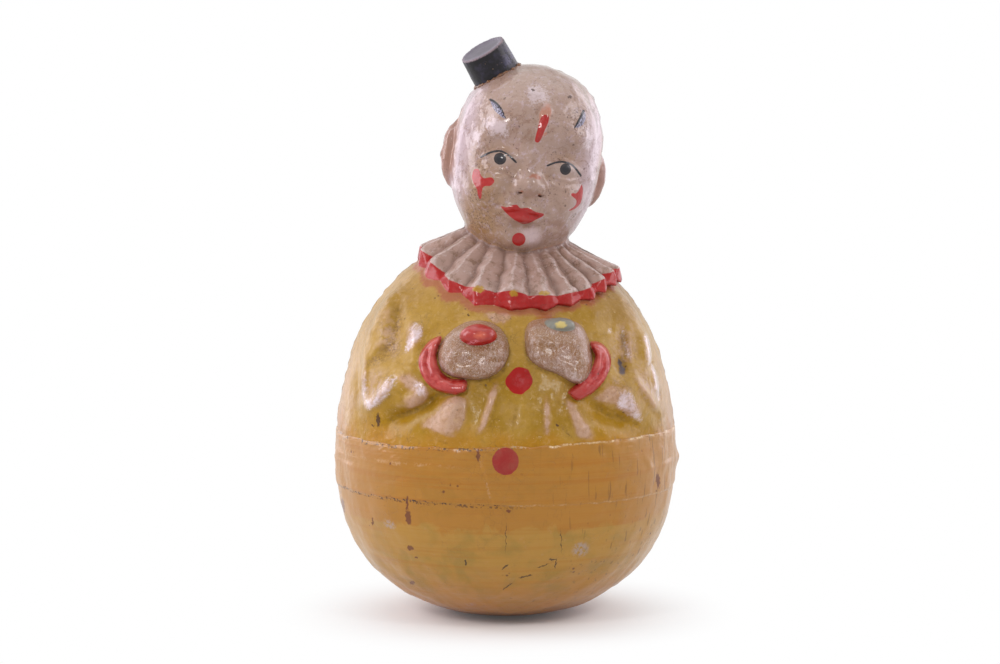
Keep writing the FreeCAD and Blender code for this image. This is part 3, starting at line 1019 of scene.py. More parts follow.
@dataclass(frozen=True)
class Net:
    """Mesh of quads laid over the zero surface of a distance function.

    A pin holds the vertices of one outermost layer of cells on a plane, so that the mesh ends there in a
    clean edge.
    """

    step: float
    low: Triple
    high: Triple
    pins: Sequence[tuple[int, float]] = ()
    coarse: float = 4.0
    band: float = 6.5

    def axis(self, number: int) -> Array:
        """Grid places along one axis, laid so that a pinned plane runs through the middle of a cell.

        Args:
            number: number of the axis.

        Returns:
            Places along it.
        """
        low, high = self.low[number], self.high[number]
        count = int(math.ceil((high - low) / self.step - CLOSE)) + 1
        for pinned, place in self.pins:
            if pinned == number and abs(place - high) < abs(place - low):
                return place + self.step * (np.arange(count + 1) - count + 0.5)
            if pinned == number:
                return place + self.step * (np.arange(count + 1) - 0.5)
        return low + self.step * np.arange(count)

    def sample(self, function: Distance, axes: list[Array]) -> Array:
        """Values on the whole grid, measured only near the surface and filled in by sign elsewhere.

        Args:
            function: distance function.
            axes: places along each axis.

        Returns:
            The values.
        """
        block = max(2, int(round(self.coarse / self.step)))
        values = np.empty([len(axis) for axis in axes], np.float32)
        starts = [np.arange(0, len(axis), block) for axis in axes]
        middles = [axis[np.minimum(start + block // 2, len(axis) - 1)] for axis, start in zip(axes, starts)]
        centres = np.stack(np.meshgrid(*middles, indexing="ij"), -1).reshape(-1, 3)
        rough = function(centres)
        corners = np.stack(np.meshgrid(*starts, indexing="ij"), -1).reshape(-1, 3)
        places, slots = [], []
        for corner, value in zip(corners, rough):
            part = tuple(slice(int(first), int(first) + block) for first in corner)
            if abs(value) > self.band:
                values[part] = value
                continue
            grid = np.meshgrid(*[axis[cut] for axis, cut in zip(axes, part)], indexing="ij")
            places.append(np.stack(grid, -1).reshape(-1, 3))
            slots.append(part)
        packed = np.concatenate(places)
        results = np.concatenate([function(chunk) for chunk in np.array_split(packed, 12)])
        start = 0
        for part, place in zip(slots, places):
            shape = values[part].shape
            values[part] = results[start:start + len(place)].reshape(shape)
            start += len(place)
        return values

    def mesh(self, function: Distance) -> tuple[Array, Faces]:
        """Vertices drawn onto the surface, and quads that face outwards.

        Args:
            function: distance function.

        Returns:
            Vertices in millimetres and lists of four indices.
        """
        axes = [self.axis(number) for number in range(3)]
        values = self.sample(function, axes)
        inside = values < 0
        shape = np.array(values.shape) - 1
        corners = [(i, j, k) for i in (0, 1) for j in (0, 1) for k in (0, 1)]

        def shifted(grid: Array, corner: Sequence[int]) -> Array:
            """Grid of the cells' corners on one side."""
            return grid[tuple(slice(c, c + n) for c, n in zip(corner, shape))]
        count = sum(shifted(inside, corner).astype(np.int8) for corner in corners)
        active = np.argwhere((count > 0) & (count < 8))
        numbers = np.full(shape, -1, np.int32)
        numbers[tuple(active.T)] = np.arange(len(active))
        held = np.stack([values[tuple((active + np.array(corner)).T)] for corner in corners], 1).astype(float)
        total = np.zeros((len(active), 3))
        hits = np.zeros(len(active))
        for first, one in enumerate(corners):
            for second, two in enumerate(corners):
                if second <= first or sum(abs(a - b) for a, b in zip(one, two)) != 1:
                    continue
                a, b = held[:, first], held[:, second]
                cross = (a < 0) != (b < 0)
                share = np.where(cross, a / np.where(cross, a - b, 1.0), 0.0)
                spot = np.array(one) + share[:, None] * (np.array(two) - np.array(one))
                total += np.where(cross[:, None], spot, 0.0)
                hits += cross
        vertices = np.array([axis[0] for axis in axes]) + self.step * (active + total / hits[:, None])
        free = np.ones_like(vertices)
        for axis, place in self.pins:
            middle = axes[axis][0] + self.step * (active[:, axis] + 0.5)
            held_back = np.abs(middle - place) < 0.01 * self.step
            vertices[held_back, axis] = place
            free[held_back, axis] = 0.0
        quads = []
        for axis in range(3):
            after = tuple(slice(1, None) if number == axis else slice(None) for number in range(3))
            before = tuple(slice(None, -1) if number == axis else slice(None) for number in range(3))
            edges = np.argwhere(inside[after] != inside[before])
            other = [number for number in range(3) if number != axis]
            keep = np.all([(edges[:, n] > 0) & (edges[:, n] < shape[n]) for n in other], axis=0)
            edges = edges[keep]
            ring = []
            for back_one, back_two in ((1, 1), (0, 1), (0, 0), (1, 0)):
                cell = edges.copy()
                cell[:, other[0]] -= back_one
                cell[:, other[1]] -= back_two
                ring.append(numbers[tuple(cell.T)])
            ring = np.stack(ring, 1)
            starts_inside = inside[tuple(edges.T)]
            flip = starts_inside if axis == 1 else ~starts_inside
            quads.append(np.where(flip[:, None], ring[:, ::-1], ring))
        return onto(function, vertices, 0.5 * self.step, free), np.concatenate(quads).tolist()


def boundary_loops(faces: Faces) -> Faces:
    """Closed rings of vertices along the open edges of a mesh, in the direction of its faces' edges.

    Args:
        faces: vertex numbers of each face.

    Returns:
        Rings of vertex numbers, the longest first; a ring never passes a vertex twice.
    """
    edges = Counter(edge for face in faces for edge in zip(face, face[1:] + face[:1]))
    after = {}
    for (first, second), number in edges.items():
        for _ in range(number - edges.get((second, first), 0)):
            after.setdefault(first, []).append(second)
    loops = []
    while after:
        path = [next(iter(after))]
        while path[-1] in after:
            nexts = after[path[-1]]
            step = nexts.pop()
            if not nexts:
                del after[path[-1]]
            if step in path:
                start = path.index(step)
                loops.append(path[start:])
                path = path[:start + 1]
            else:
                path.append(step)
    return sorted(loops, key=len, reverse=True)


def zipped(vertices: Array, one: list[int], two: list[int]) -> Faces:
    """Triangles between two rows of vertices that run side by side.

    Args:
        vertices: places of all vertices.
        one: row whose triangles' edges run forwards.
        two: row beside it, in the same direction.

    Returns:
        Triangles.
    """
    def gap(i: int, j: int) -> float:
        """Distance between a vertex of each row."""
        return float(np.linalg.norm(vertices[one[i]] - vertices[two[j]]))
    faces, i, j = [], 0, 0
    while i < len(one) - 1 or j < len(two) - 1:
        if j == len(two) - 1 or (i < len(one) - 1 and gap(i + 1, j) <= gap(i, j + 1)):
            faces.append([one[i], one[i + 1], two[j]])
            i += 1
        else:
            faces.append([one[i], two[j + 1], two[j]])
            j += 1
    return faces


def row_between(loop: list[int], start: int, end: int) -> list[int]:
    """Vertices of a ring from one of them to another, both included.

    Args:
        loop: ring of vertex numbers.
        start: first of them.
        end: last of them.

    Returns:
        The row.
    """
    first = loop.index(start)
    turned_loop = loop[first:] + loop[:first]
    return turned_loop[:turned_loop.index(end) + 1]


def row_across(vertices: Array, loop: list[int], height: float, axis: int, place: float) -> list[int] | None:
    """Row of a ring that stays on one plane, from its lowest place across to its highest.

    Args:
        vertices: places of all vertices.
        loop: ring of vertex numbers.
        height: height at which the row has both its ends, on the parting plane.
        axis: axis square to the plane of the row.
        place: place of that plane along the axis.

    Returns:
        The row, or None where the ring has none.
    """
    ends = [index for index in loop if np.abs(vertices[index, 1:] - (0.0, height)).max() < CLOSE]
    if len(ends) < 2:
        return None
    ends.sort(key=lambda index: vertices[index, 0])
    for first, last in ((ends[0], ends[-1]), (ends[-1], ends[0])):
        row = row_between(loop, first, last)
        if np.abs(vertices[row, axis] - place).max() < CLOSE:
            return row if first == ends[0] else row[::-1]
    return None


def curved(points: Ring, closed: bool, steps: int = 4) -> Array:
    """Points of a smooth curve through some points.

    Args:
        points: places that the curve passes.
        closed: whether it runs back to the first.
        steps: number of points for each given one.

    Returns:
        Points of the curve.
    """
    ends = np.array(points, float)
    if not closed:
        ends = np.concatenate([ends, 2 * ends[-1:] - ends[-2:-1], 2 * ends[:1] - ends[1:2]])
    before, after, later = np.roll(ends, 1, 0), np.roll(ends, -1, 0), np.roll(ends, -2, 0)
    parts = []
    for step in range(steps):
        t = step / steps
        curve = 2 * ends + (after - before) * t + (2 * before - 5 * ends + 4 * after - later) * t ** 2
        parts.append((curve + (3 * ends - before - 3 * after + later) * t ** 3) / 2)
    curve = np.stack(parts, 1).reshape(-1, 2)
    return curve if closed else curve[:(len(points) - 1) * steps + 1]


def to_ring(points: Ring, across: Array, up: Array) -> Array:
    """Distance to a closed outline with its corners a little rounded, negative within it.

    Args:
        points: points of the outline.
        across: sideways places to measure.
        up: their heights.

    Returns:
        Distances.
    """
    ring = curved(points, True)
    best = np.full(len(across), FAR)
    within = np.zeros(len(across), bool)
    for one, two in zip(ring, np.roll(ring, -1, 0)):
        best = np.minimum(best, beside(across, up, one, two)[0])
        way = two - one
        crosses = (one[1] > up) != (two[1] > up)
        within ^= crosses & (across < one[0] + (up - one[1]) / (way[1] or TINY) * way[0])
    return np.where(within, -best, best)


def nearest(rings: Sequence[Ring], across: Array, up: Array) -> Array:
    """Distance to the nearest of several outlines."""
    return np.min([to_ring(ring, across, up) for ring in rings], axis=0)


def discs(rounds: Sequence[Triple], across: Array, up: Array) -> Array:
    """Distance to the nearest of several discs, each given by place across, height and radius."""
    return np.min([np.hypot(across - x, up - z) - radius for x, z, radius in rounds], axis=0)


@dataclass(frozen=True)
class FacePaint:
    """Painted shapes of the face, by places across and up from the head's centre."""

    lips: Ring = (
        (-9.8, -18.9), (-7.6, -19), (-5.2, -17.6), (-3.5, -17.2), (-1.9, -18.3), (0, -17.9), (1.6, -17.8),
        (4.4, -18.8), (8.4, -19.4), (5.4, -22), (1.2, -24.5), (-2.6, -23.8), (-6.2, -21.9))
    drop: Ring = (
        (0, 18), (1, 20.2), (3.1, 20.2), (3.5, 18), (2.5, 14.2), (1.4, 9.8), (0.3, 8.8), (-0.7, 9.8),
        (-0.4, 13.8))
    faded_drop: Ring = ((0.2, 23.6), (1.9, 25.4), (3.6, 24), (4, 19), (2.8, 12), (-0.3, 12))
    marks: Sequence[Ring] = (
        ((-22.2, -6.2), (-20.4, -6), (-19.4, -8), (-18, -9), (-15.2, -8.1), (-13.9, -9.6),
                 (-15.2, -11.5), (-17.5, -12.2), (-18, -14), (-17.8, -17.6), (-18.9, -17), (-20, -14),
                 (-21.9, -11.4), (-22.6, -9)),
        ((22.2, -5.3), (23.3, -8), (23.2, -12.6), (21.2, -15.4), (18.2, -16.6), (20.6, -14.4),
                 (21, -12), (18, -10), (18.4, -9.2), (20.4, -9), (21.4, -7.4)),
    )
    brows: Sequence[Ring] = (
        ((-20.2, 22.4), (-18.4, 22.2), (-15.8, 19.6), (-13.6, 16.2), (-15.6, 16.9), (-18.4, 18.9)),
        ((18.1, 24), (19.2, 22.4), (18.2, 18.8), (15, 17.2), (16.2, 20.2)),
    )
    brow_lines: Sequence[Trail] = (
        Trail(((-20.2, 22.6), (-18.4, 22), (-15.8, 19.9), (-13.6, 16.2)), (0.45, 0.25), 0),
        Trail(((18, 24.2), (16.6, 21.2), (14.6, 16.8)), (0.6, 0.25), 0),
    )
    lid_lines: Sequence[Trail] = (
        Trail(((-20.4, -0.9), (-17.4, 1.5), (-13.5, 2.9), (-10, 1.9), (-6.6, -0.4)), (0.38, 0.42), 0),
        Trail(((6.2, 0.3), (9, 1.9), (12.8, 2.8), (16.9, 1.8), (21.2, -1.8)), (0.38, 0.42), 0),
    )
    irises: Sequence[Triple] = ((-13.1, -0.1, 2.4), (13.9, 0.0, 2.35))
    chin_dot: Triple = (0.0, -31.2, 2.75)
    nostrils: Sequence[Triple] = ((-2.7, -11.6, 0.5), (4.8, -11.9, 0.55))
    nose_worn: Ring = ((-0.6, -5.4), (0.4, -4), (2.2, -3.8), (4.4, -4.9), (2.8, -5.7), (1.2, -5.2))
    # Painted highlights: pale lavender patches on temples, forehead, the right side and the top, where the
    # lamps' reflections fall.
    pale: Sequence[Ring] = (
        ((-25.7, 8.6), (-22.2, 9.4), (-20.8, 6), (-22, 3.6), (-25.2, 3.2)),
        ((-22.5, 14), (-17, 16), (-12.4, 15), (-11.2, 10), (-15, 8.2), (-20.5, 9.5)),
        ((18.3, 18.5), (21.2, 19.4), (23.2, 14), (22.8, 10), (20, 9.8), (19, 14)),
        ((23.4, 8.4), (26.4, 9), (29, 0), (29.6, -10.4), (26.6, -11), (26, 0)),
        ((-6, 30.4), (1, 31.8), (2.6, 26), (-4.6, 24.4)),
    )
    whites: Sequence[Ring] = (
        ((-20, -1.4), (-17.2, 0.9), (-13.4, 2.2), (-10, 1.2), (-7.6, -0.6), (-11, -2.9), (-15.4, -3.2)),
        ((6.8, 0), (9.2, 1.2), (12.8, 2.2), (16.6, 1.4), (20.6, -1.6), (17.6, -3.1), (12.4, -3)),
    )

    def masks(self, across: Array, up: Array) -> dict[str, Array]:
        """Distances to the painted shapes, negative within them, by the names that the finish reads.

        Args:
            across: places across the face.
            up: places up the face.

        Returns:
            Distances by name.
        """
        def lines(trails: Sequence[Trail]) -> Array:
            """Distance to the nearest of some lines of changing width.

            Args:
                trails: the lines.

            Returns:
                Distances.
            """
            found = []
            for trail in trails:
                gap, share = Trail(curved(trail.points, False), trail.width, 0.0).near(across, up)
                found.append(gap - trail.width[0] - (trail.width[1] - trail.width[0]) * share)
            return np.min(found, axis=0)
        rings = {"lips": (self.lips,), "drop": (self.drop,), "faded_drop": (self.faded_drop,),
                 "cheek_marks": self.marks, "brows": self.brows, "whites": self.whites, "pale": self.pale}
        worn = to_ring(self.nose_worn, across, up)
        return {name: nearest(shapes, across, up) for name, shapes in rings.items()} | {
            "brow_lines": lines(self.brow_lines),
            "lid_lines": lines(self.lid_lines),
            "irises": discs(self.irises, across, up),
            "chin_dot": discs((self.chin_dot,), across, up),
            "nostrils": np.minimum(discs(self.nostrils, across, up), worn),
        }


@dataclass(frozen=True)
class CoatPaint:
    """Places on the coat that are worn pale, some of them also painted highlight; painted highlights; where
    the yellow lies deep; and the two buttons.
    """

    # Worn pale places; some, such as the one on the left upper sleeve, are also painted highlight where a
    # lamp's reflection falls.
    worn: Sequence[Ring] = (
        ((-42.4, 104.4), (-36.5, 105.3), (-31.5, 101.5), (-30.4, 97.6), (-32.6, 94.4), (-38.3, 91.2),
                 (-39.8, 92.6), (-36.4, 97.5), (-40.4, 100.8)),
        ((-23.7, 97.2), (-16.2, 98), (-15, 94), (-18.4, 85), (-33, 85.4), (-28, 90.8)),
        ((-5, 103), (-3, 102.3), (-7.3, 88.4), (-10.2, 84.2), (-11, 85.6), (-7.3, 96.7)),
        ((15.2, 96.6), (16.6, 96.5), (17.1, 84), (15.1, 84.5)),
        ((23.4, 96.3), (26.3, 94.8), (35, 81.7), (29.1, 80.9), (26.3, 86.9)),
        ((39.1, 99.1), (44.1, 100.6), (51.1, 94.2), (53.1, 87.4), (48, 89), (43, 93.2), (35.1, 95.7)),
        ((-37.3, 124.6), (-33.8, 123.3), (-34.2, 118.7), (-38.7, 114.6), (-39.7, 119.3)),
        ((-8, 129.5), (1.5, 129.5), (1, 126.2), (-5, 125)),
    )
    # Painted highlights: pale spots on the folds where the lamps' reflections fall.
    shine: Sequence[Ring] = (
        ((-43.4, 103.9), (-46.5, 104), (-51, 99.2), (-54, 95), (-56.9, 94), (-57.3, 91.5),
                 (-55, 90.2), (-51, 92.8), (-47, 97.2)),
        ((-56.8, 106), (-57.9, 99.5), (-58, 94), (-56.6, 93.5), (-56.4, 99)),
        ((-37.3, 124.7), (-34, 123.4), (-33.6, 119.5), (-37.3, 116), (-40.3, 113.5), (-39.6, 118.5)),
        ((46.8, 98.8), (50.4, 97.5), (53.4, 90.5), (54.4, 85.1), (47.2, 90.3), (44.7, 93.4)),
        ((56.6, 119), (58.6, 116), (59.4, 109), (58.2, 107.8), (57.2, 112)),
        ((59.6, 106.8), (61.8, 101.7), (62.9, 93.1), (61.8, 93), (60.4, 100)),
        ((47.2, 120), (48, 119.8), (50.4, 110.5), (49.8, 110.3)),
        ((-36, 103.5), (-33, 101), (-32.4, 98), (-34.8, 97.6), (-36.8, 100.5)),
        ((41.3, 121.3), (42, 122.1), (42.8, 121.2), (42.1, 120.4)),
    )
    deep: Sequence[Ring] = (
        ((-54.3, 88.8), (-47.3, 89), (-39.3, 87.6), (-31.4, 88.5), (-26.6, 97.2), (-23.6, 98),
                 (-25.4, 91.3), (-33.3, 83.4), (-48, 83)),
        ((31.1, 94.2), (40, 91.7), (52, 84), (50, 80.5), (38.9, 80.8), (33.1, 87.4)),
    )
    buttons: Sequence[Triple] = ((5.2, 104.0, 4.9), (-0.1, 73.1, 5.3))

    def masks(self, across: Array, up: Array) -> dict[str, Array]:
        """Distances to the painted and worn places, negative within them, by name.

        Args:
            across: sideways places.
            up: heights.

        Returns:
            Distances by name.
        """
        return {
            "worn": nearest(self.worn, across, up),
            "shine": nearest(self.shine, across, up),
            "deep": nearest(self.deep, across, up),
            "buttons": discs(self.buttons, across, up),
        }


def as_quads(faces: Faces) -> Array:
    """Faces as rows of four, a triangle with its first vertex twice."""
    return np.array([face if len(face) == 4 else face + face[:1] for face in faces])


def neighbours(quads: Array) -> Distance:
    """Function that gives the mean of each vertex's neighbours.

    Args:
        quads: vertex numbers of each face.

    Returns:
        The function, for places of all the vertices.
    """
    edges = np.concatenate([quads[:, [i, (i + 1) % 4]] for i in range(4)])
    edges = np.concatenate([edges, edges[:, ::-1]])

    def mean(places: Array) -> Array:
        """Mean of the neighbours of each place.

        Args:
            places: places of all the vertices.

        Returns:
            The means.
        """
        count = np.maximum(np.bincount(edges[:, 0], minlength=len(places)), 1)[:, None]
        sums = [np.bincount(edges[:, 0], places[edges[:, 1], axis], len(places)) for axis in range(3)]
        return np.stack(sums, 1) / count
    return mean


def hollows(vertices: Array, faces: Faces, rounds: Sequence[int]) -> list[Array]:
    """How far each vertex lies below its smoothed surroundings: above 0 in a hollow, below 0 on a ridge.

    Args:
        vertices: places of the vertices.
        faces: vertex numbers of each face.
        rounds: numbers of smoothing rounds after which to measure.

    Returns:
        One array for each number of rounds.
    """
    quads = as_quads(faces)
    mean = neighbours(quads)
    sides = vertices[quads[:, 2]] - vertices[quads[:, 0]], vertices[quads[:, 3]] - vertices[quads[:, 1]]
    faced = np.cross(*sides)
    normals = np.zeros_like(vertices)
    for corner in range(4):
        np.add.at(normals, quads[:, corner], faced)
    normals = unit(normals)
    places, found = vertices.copy(), []
    for number in range(1, max(rounds) + 1):
        places = 0.4 * places + 0.6 * mean(places)
        if number in rounds:
            found.append(((places - vertices) * normals).sum(1))
    return found


def facing(vertices: Array, face: list[int]) -> Array:
    """Direction that a triangle of three vertex numbers faces."""
    one, two, three = vertices[face]
    return np.cross(two - one, three - one)


def add_piece(name: str, vertices: Array, faces: Faces, finish: Finish, replaced: str,
              flat_from: int | None = None) -> Thing:
    """Makes a mesh piece that rides on the body and stands for a solid of the frame.

    Args:
        name: name of the piece.
        vertices: places in millimetres.
        faces: vertex numbers of each face.
        finish: its material slot; not used.
        replaced: solid that it stands for.
        flat_from: first face that isn't shaded smooth.

    Returns:
        The piece.
    """
    mesh = bpy.data.meshes.new(name)
    mesh.from_pydata((vertices * MM).tolist(), [], faces)
    smooth = np.ones(len(faces), bool)
    if flat_from is not None:
        smooth[flat_from:] = False
    mesh.polygons.foreach_set("use_smooth", smooth)
    mesh.update()
    piece = bpy.data.objects.new(name, mesh)
    bpy.context.scene.collection.objects.link(piece)
    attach(piece, BODY)
    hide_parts(replaced)
    LOG.info("%s: %d vertices, %d faces", name, len(vertices), len(faces))
    return piece


def loft(rows: int, turns: int, closed: bool) -> Faces:
    """Quads between rings of vertices that follow one another.

    Args:
        rows: number of rings.
        turns: number of vertices in a ring.
        closed: whether the last ring joins the first.

    Returns:
        Vertex numbers of each quad.
    """
    faces = []
    for row in range(rows if closed else rows - 1):
        after = (row + 1) % rows
        for turn in range(turns):
            two = (turn + 1) % turns
            faces.append([row * turns + turn, row * turns + two, after * turns + two, after * turns + turn])
    return faces


def write_marks(piece: Thing, marks: dict[str, Array]) -> None:
    """Keeps one number for each vertex under each name, for the finish to read.

    Args:
        piece: piece that holds them.
        marks: numbers by name.
    """
    for name, values in marks.items():
        held = np.zeros(len(piece.data.vertices), np.float32)
        held[:len(values)] = values
        piece.data.attributes.new(name, "FLOAT", "POINT").data.foreach_set("value", held)


@dataclass
class PressedShell:
    """One half of the figure as a hollow pressing, which meets the other half on y = 0."""

    figure: Figure
    front: bool
    step: float
    head_step: float
    inner_step: float = 3.0
    joint: float = JOINT
    head_cut: float = 130.5
    gap: float = 0.7
    reach: float = 78.0
    head_reach: Point = (62.0, 64.0)
    top: float = 236.0

    def half(self, step: float, low: tuple[float, float], high: tuple[float, float],
             pins: Sequence[tuple[int, float]], function: Distance) -> tuple[Array, Faces]:
        """Meshes one height range of this half.

        Args:
            step: size of the net.
            low: lowest place across and height.
            high: highest place across and height.
            pins: planes that the mesh ends on, besides the parting plane.
            function: distance to mesh.

        Returns:
            Vertices and faces.
        """
        near, far = (-self.reach, 0.0) if self.front else (0.0, self.reach)
        net = Net(step, (low[0], near, low[1]), (high[0], far, high[1]), ((1, 0.0), *pins))
        return net.mesh(function)

    def outside(self) -> tuple[Array, Faces]:
        """Outer surface of the half: a finer head on the body, joined by a narrow strip.

        Returns:
            Vertices and faces.
        """
        levels = round((self.head_cut - self.joint) / self.step)
        cut = self.joint + levels * self.step
        seat = cut + self.gap * self.step
        low, high, pins = (-self.reach, self.joint), (self.reach, cut), ((2, self.joint), (2, cut))
        body, body_faces = self.half(self.step, low, high, pins, self.figure.outside)
        low, high = (-self.head_reach[0], seat), (self.head_reach[1], self.top)
        head, head_faces = self.half(self.head_step, low, high, ((2, seat),), self.figure.outside)
        under, over = (
            next(filter(None, (row_across(places, loop, level, 2, level) for loop in boundary_loops(found))))
            for places, found, level in ((body, body_faces, cut), (head, head_faces, seat)))
        over = [index + len(body) for index in over]
        vertices = np.concatenate([body, head])
        strip = zipped(vertices, under, over)
        first = strip[len(strip) // 2]
        if facing(vertices, first) @ gradient(self.figure.outside, vertices[first[:1]])[0] < 0:
            strip = [face[::-1] for face in strip]
        faces = body_faces + [[i + len(body) for i in face] for face in head_faces] + strip
        near = np.flatnonzero((np.abs(vertices[:, 2] - cut) < 3.0) & (np.abs(vertices[:, 1]) > CLOSE))
        mean = neighbours(as_quads(faces))
        for _ in range(6):
            vertices[near] = mean(vertices)[near]
        vertices[near] = onto(self.figure.outside, vertices[near], 0.3)
        return vertices, faces

    def cap(self, vertices: Array, outer: list[int], inner: list[int], axis: int) -> Faces:
        """Flat rim of the wall on one plane, between the outer and the inner edge.

        Args:
            vertices: all vertices.
            outer: ring along the outer edge.
            inner: ring along the inner edge.
            axis: axis square to the plane.

        Returns:
            Triangles that face away from the wall.
        """
        place = 0.0 if axis == 1 else self.joint
        one, two = (row_across(vertices, loop, self.joint, axis, place) for loop in (outer, inner))
        ring = one + two[::-1]
        kept = [number for number in range(3) if number != axis]
        flat = [Vector((*vertices[index, kept], 0.0)) for index in ring]
        outwards = -1.0 if axis == 2 or not self.front else 1.0
        faces = []
        for triangle in tessellate_polygon([flat]):
            face = [ring[index] for index in triangle]
            faces.append(face if facing(vertices, face)[axis] * outwards > 0 else face[::-1])
        return faces

    def build(self) -> None:
        """Makes the closed hollow shell with its marks and its finish."""
        outer, outer_faces = self.outside()
        low, high = (-self.reach, self.joint), (self.reach, self.top)
        inner, inner_faces = self.half(self.inner_step, low, high, ((2, self.joint),), self.figure.inside)
        inner_faces = [[index + len(outer) for index in face[::-1]] for face in inner_faces]
        vertices = np.concatenate([outer, inner])
        rings = boundary_loops(outer_faces)[0], boundary_loops(inner_faces)[0]
        caps = self.cap(vertices, *rings, 1) + self.cap(vertices, *rings, 2)
        rounded = outer_faces + inner_faces
        node, finish = ("front_shell", Finish.FRONT) if self.front else ("back_shell", Finish.BACK)
        piece = add_piece(node + "_pressing", vertices, rounded + caps, finish, node, len(rounded))
        marks = self.figure.marks(outer)
        marks["fine_hollow"], marks["wide_hollow"] = hollows(outer, outer_faces, (6, 60))
        write_marks(piece, marks)
        piece.data.materials.append(ReliefPaint().material(finish.value, self.front))


@dataclass
class Bowl:
    """Round bowl with a small flat worn under it, lumpy as the pressing is."""

    radius: float = BELLY_RADIUS
    joint: float = JOINT
    foot: float = 8.0
    power: float = 2.3
    wall: float = WALL
    turns: int = 360
    rows: int = 110
    swell: Sequence[Ripple] = ()

    def depth(self) -> float:
        """Depth of the whole curve below the joint."""
        return self.joint / (1 - (self.foot / self.radius) ** self.power) ** (1 / self.power)

    def profile(self, inset: float, rows: int) -> Array:
        """Distances from the axis and heights, from the joint down to the middle.

        Args:
            inset: distance inwards from the outer surface.
            rows: number of points.

        Returns:
            The points.
        """
        angles = np.linspace(0, math.pi / 2, rows)
        out = (self.radius - inset) * np.cos(angles) ** (2 / self.power)
        down = (self.depth() - inset) * np.sin(angles) ** (2 / self.power)
        return np.stack([out, self.joint - down], 1)

    def width(self, height: Array) -> Array:
        """Radius at heights below the joint."""
        share = np.clip((self.joint - height) / self.depth(), 0, 1)
        return self.radius * (1 - share ** self.power) ** (1 / self.power)

    def build(self) -> None:
        """Makes the closed bowl and its finish."""
        angles = np.linspace(0, 2 * math.pi, self.turns, endpoint=False)
        ways = np.stack([np.cos(angles), np.sin(angles)], 1)
        outer = self.profile(0.0, self.rows)[:-1]
        inner = self.profile(self.wall, self.rows // 2)[:-1][::-1]
        rows = []
        for number, (out, height) in enumerate(np.concatenate([outer, inner])):
            ring = np.column_stack([ways * out, np.full(self.turns, height)])
            if number < len(outer):
                fade = min(1.0, max(0.0, (height - 0.2) / 6.0))
                lumps = sum(swell(ring) for swell in self.swell) * fade
                down = np.full(self.turns, (height - self.joint) / self.joint)
                ring = ring - unit(np.column_stack([ways * out / self.radius, down])) * lumps[:, None]
                ring[:, 2] = np.maximum(ring[:, 2], 0.0)
            rows.append(ring)
        middles = np.array([(0, 0, 0), (0, 0, self.joint - self.depth() + self.wall)])
        vertices = np.concatenate([*rows, middles])
        count, last = self.turns, (len(outer) - 1) * self.turns
        faces = [face[::-1] for face in loft(len(outer), count, False)]
        faces += [[index + last + count for index in face[::-1]] for face in loft(len(inner), count, False)]
        for turn in range(count):
            one, two = turn, (turn + 1) % count
            faces.append([last + one, len(vertices) - 2, last + two])
            faces.append([last + count + two, len(vertices) - 1, last + count + one])
            top = (len(rows) - 1) * count
            faces.append([one, two, top + two, top + one])
        piece = add_piece("base_bowl_pressing", vertices, faces, Finish.BOWL, "base_bowl")
        piece.data.materials.append(BandPaint().material(Finish.BOWL.value, False))


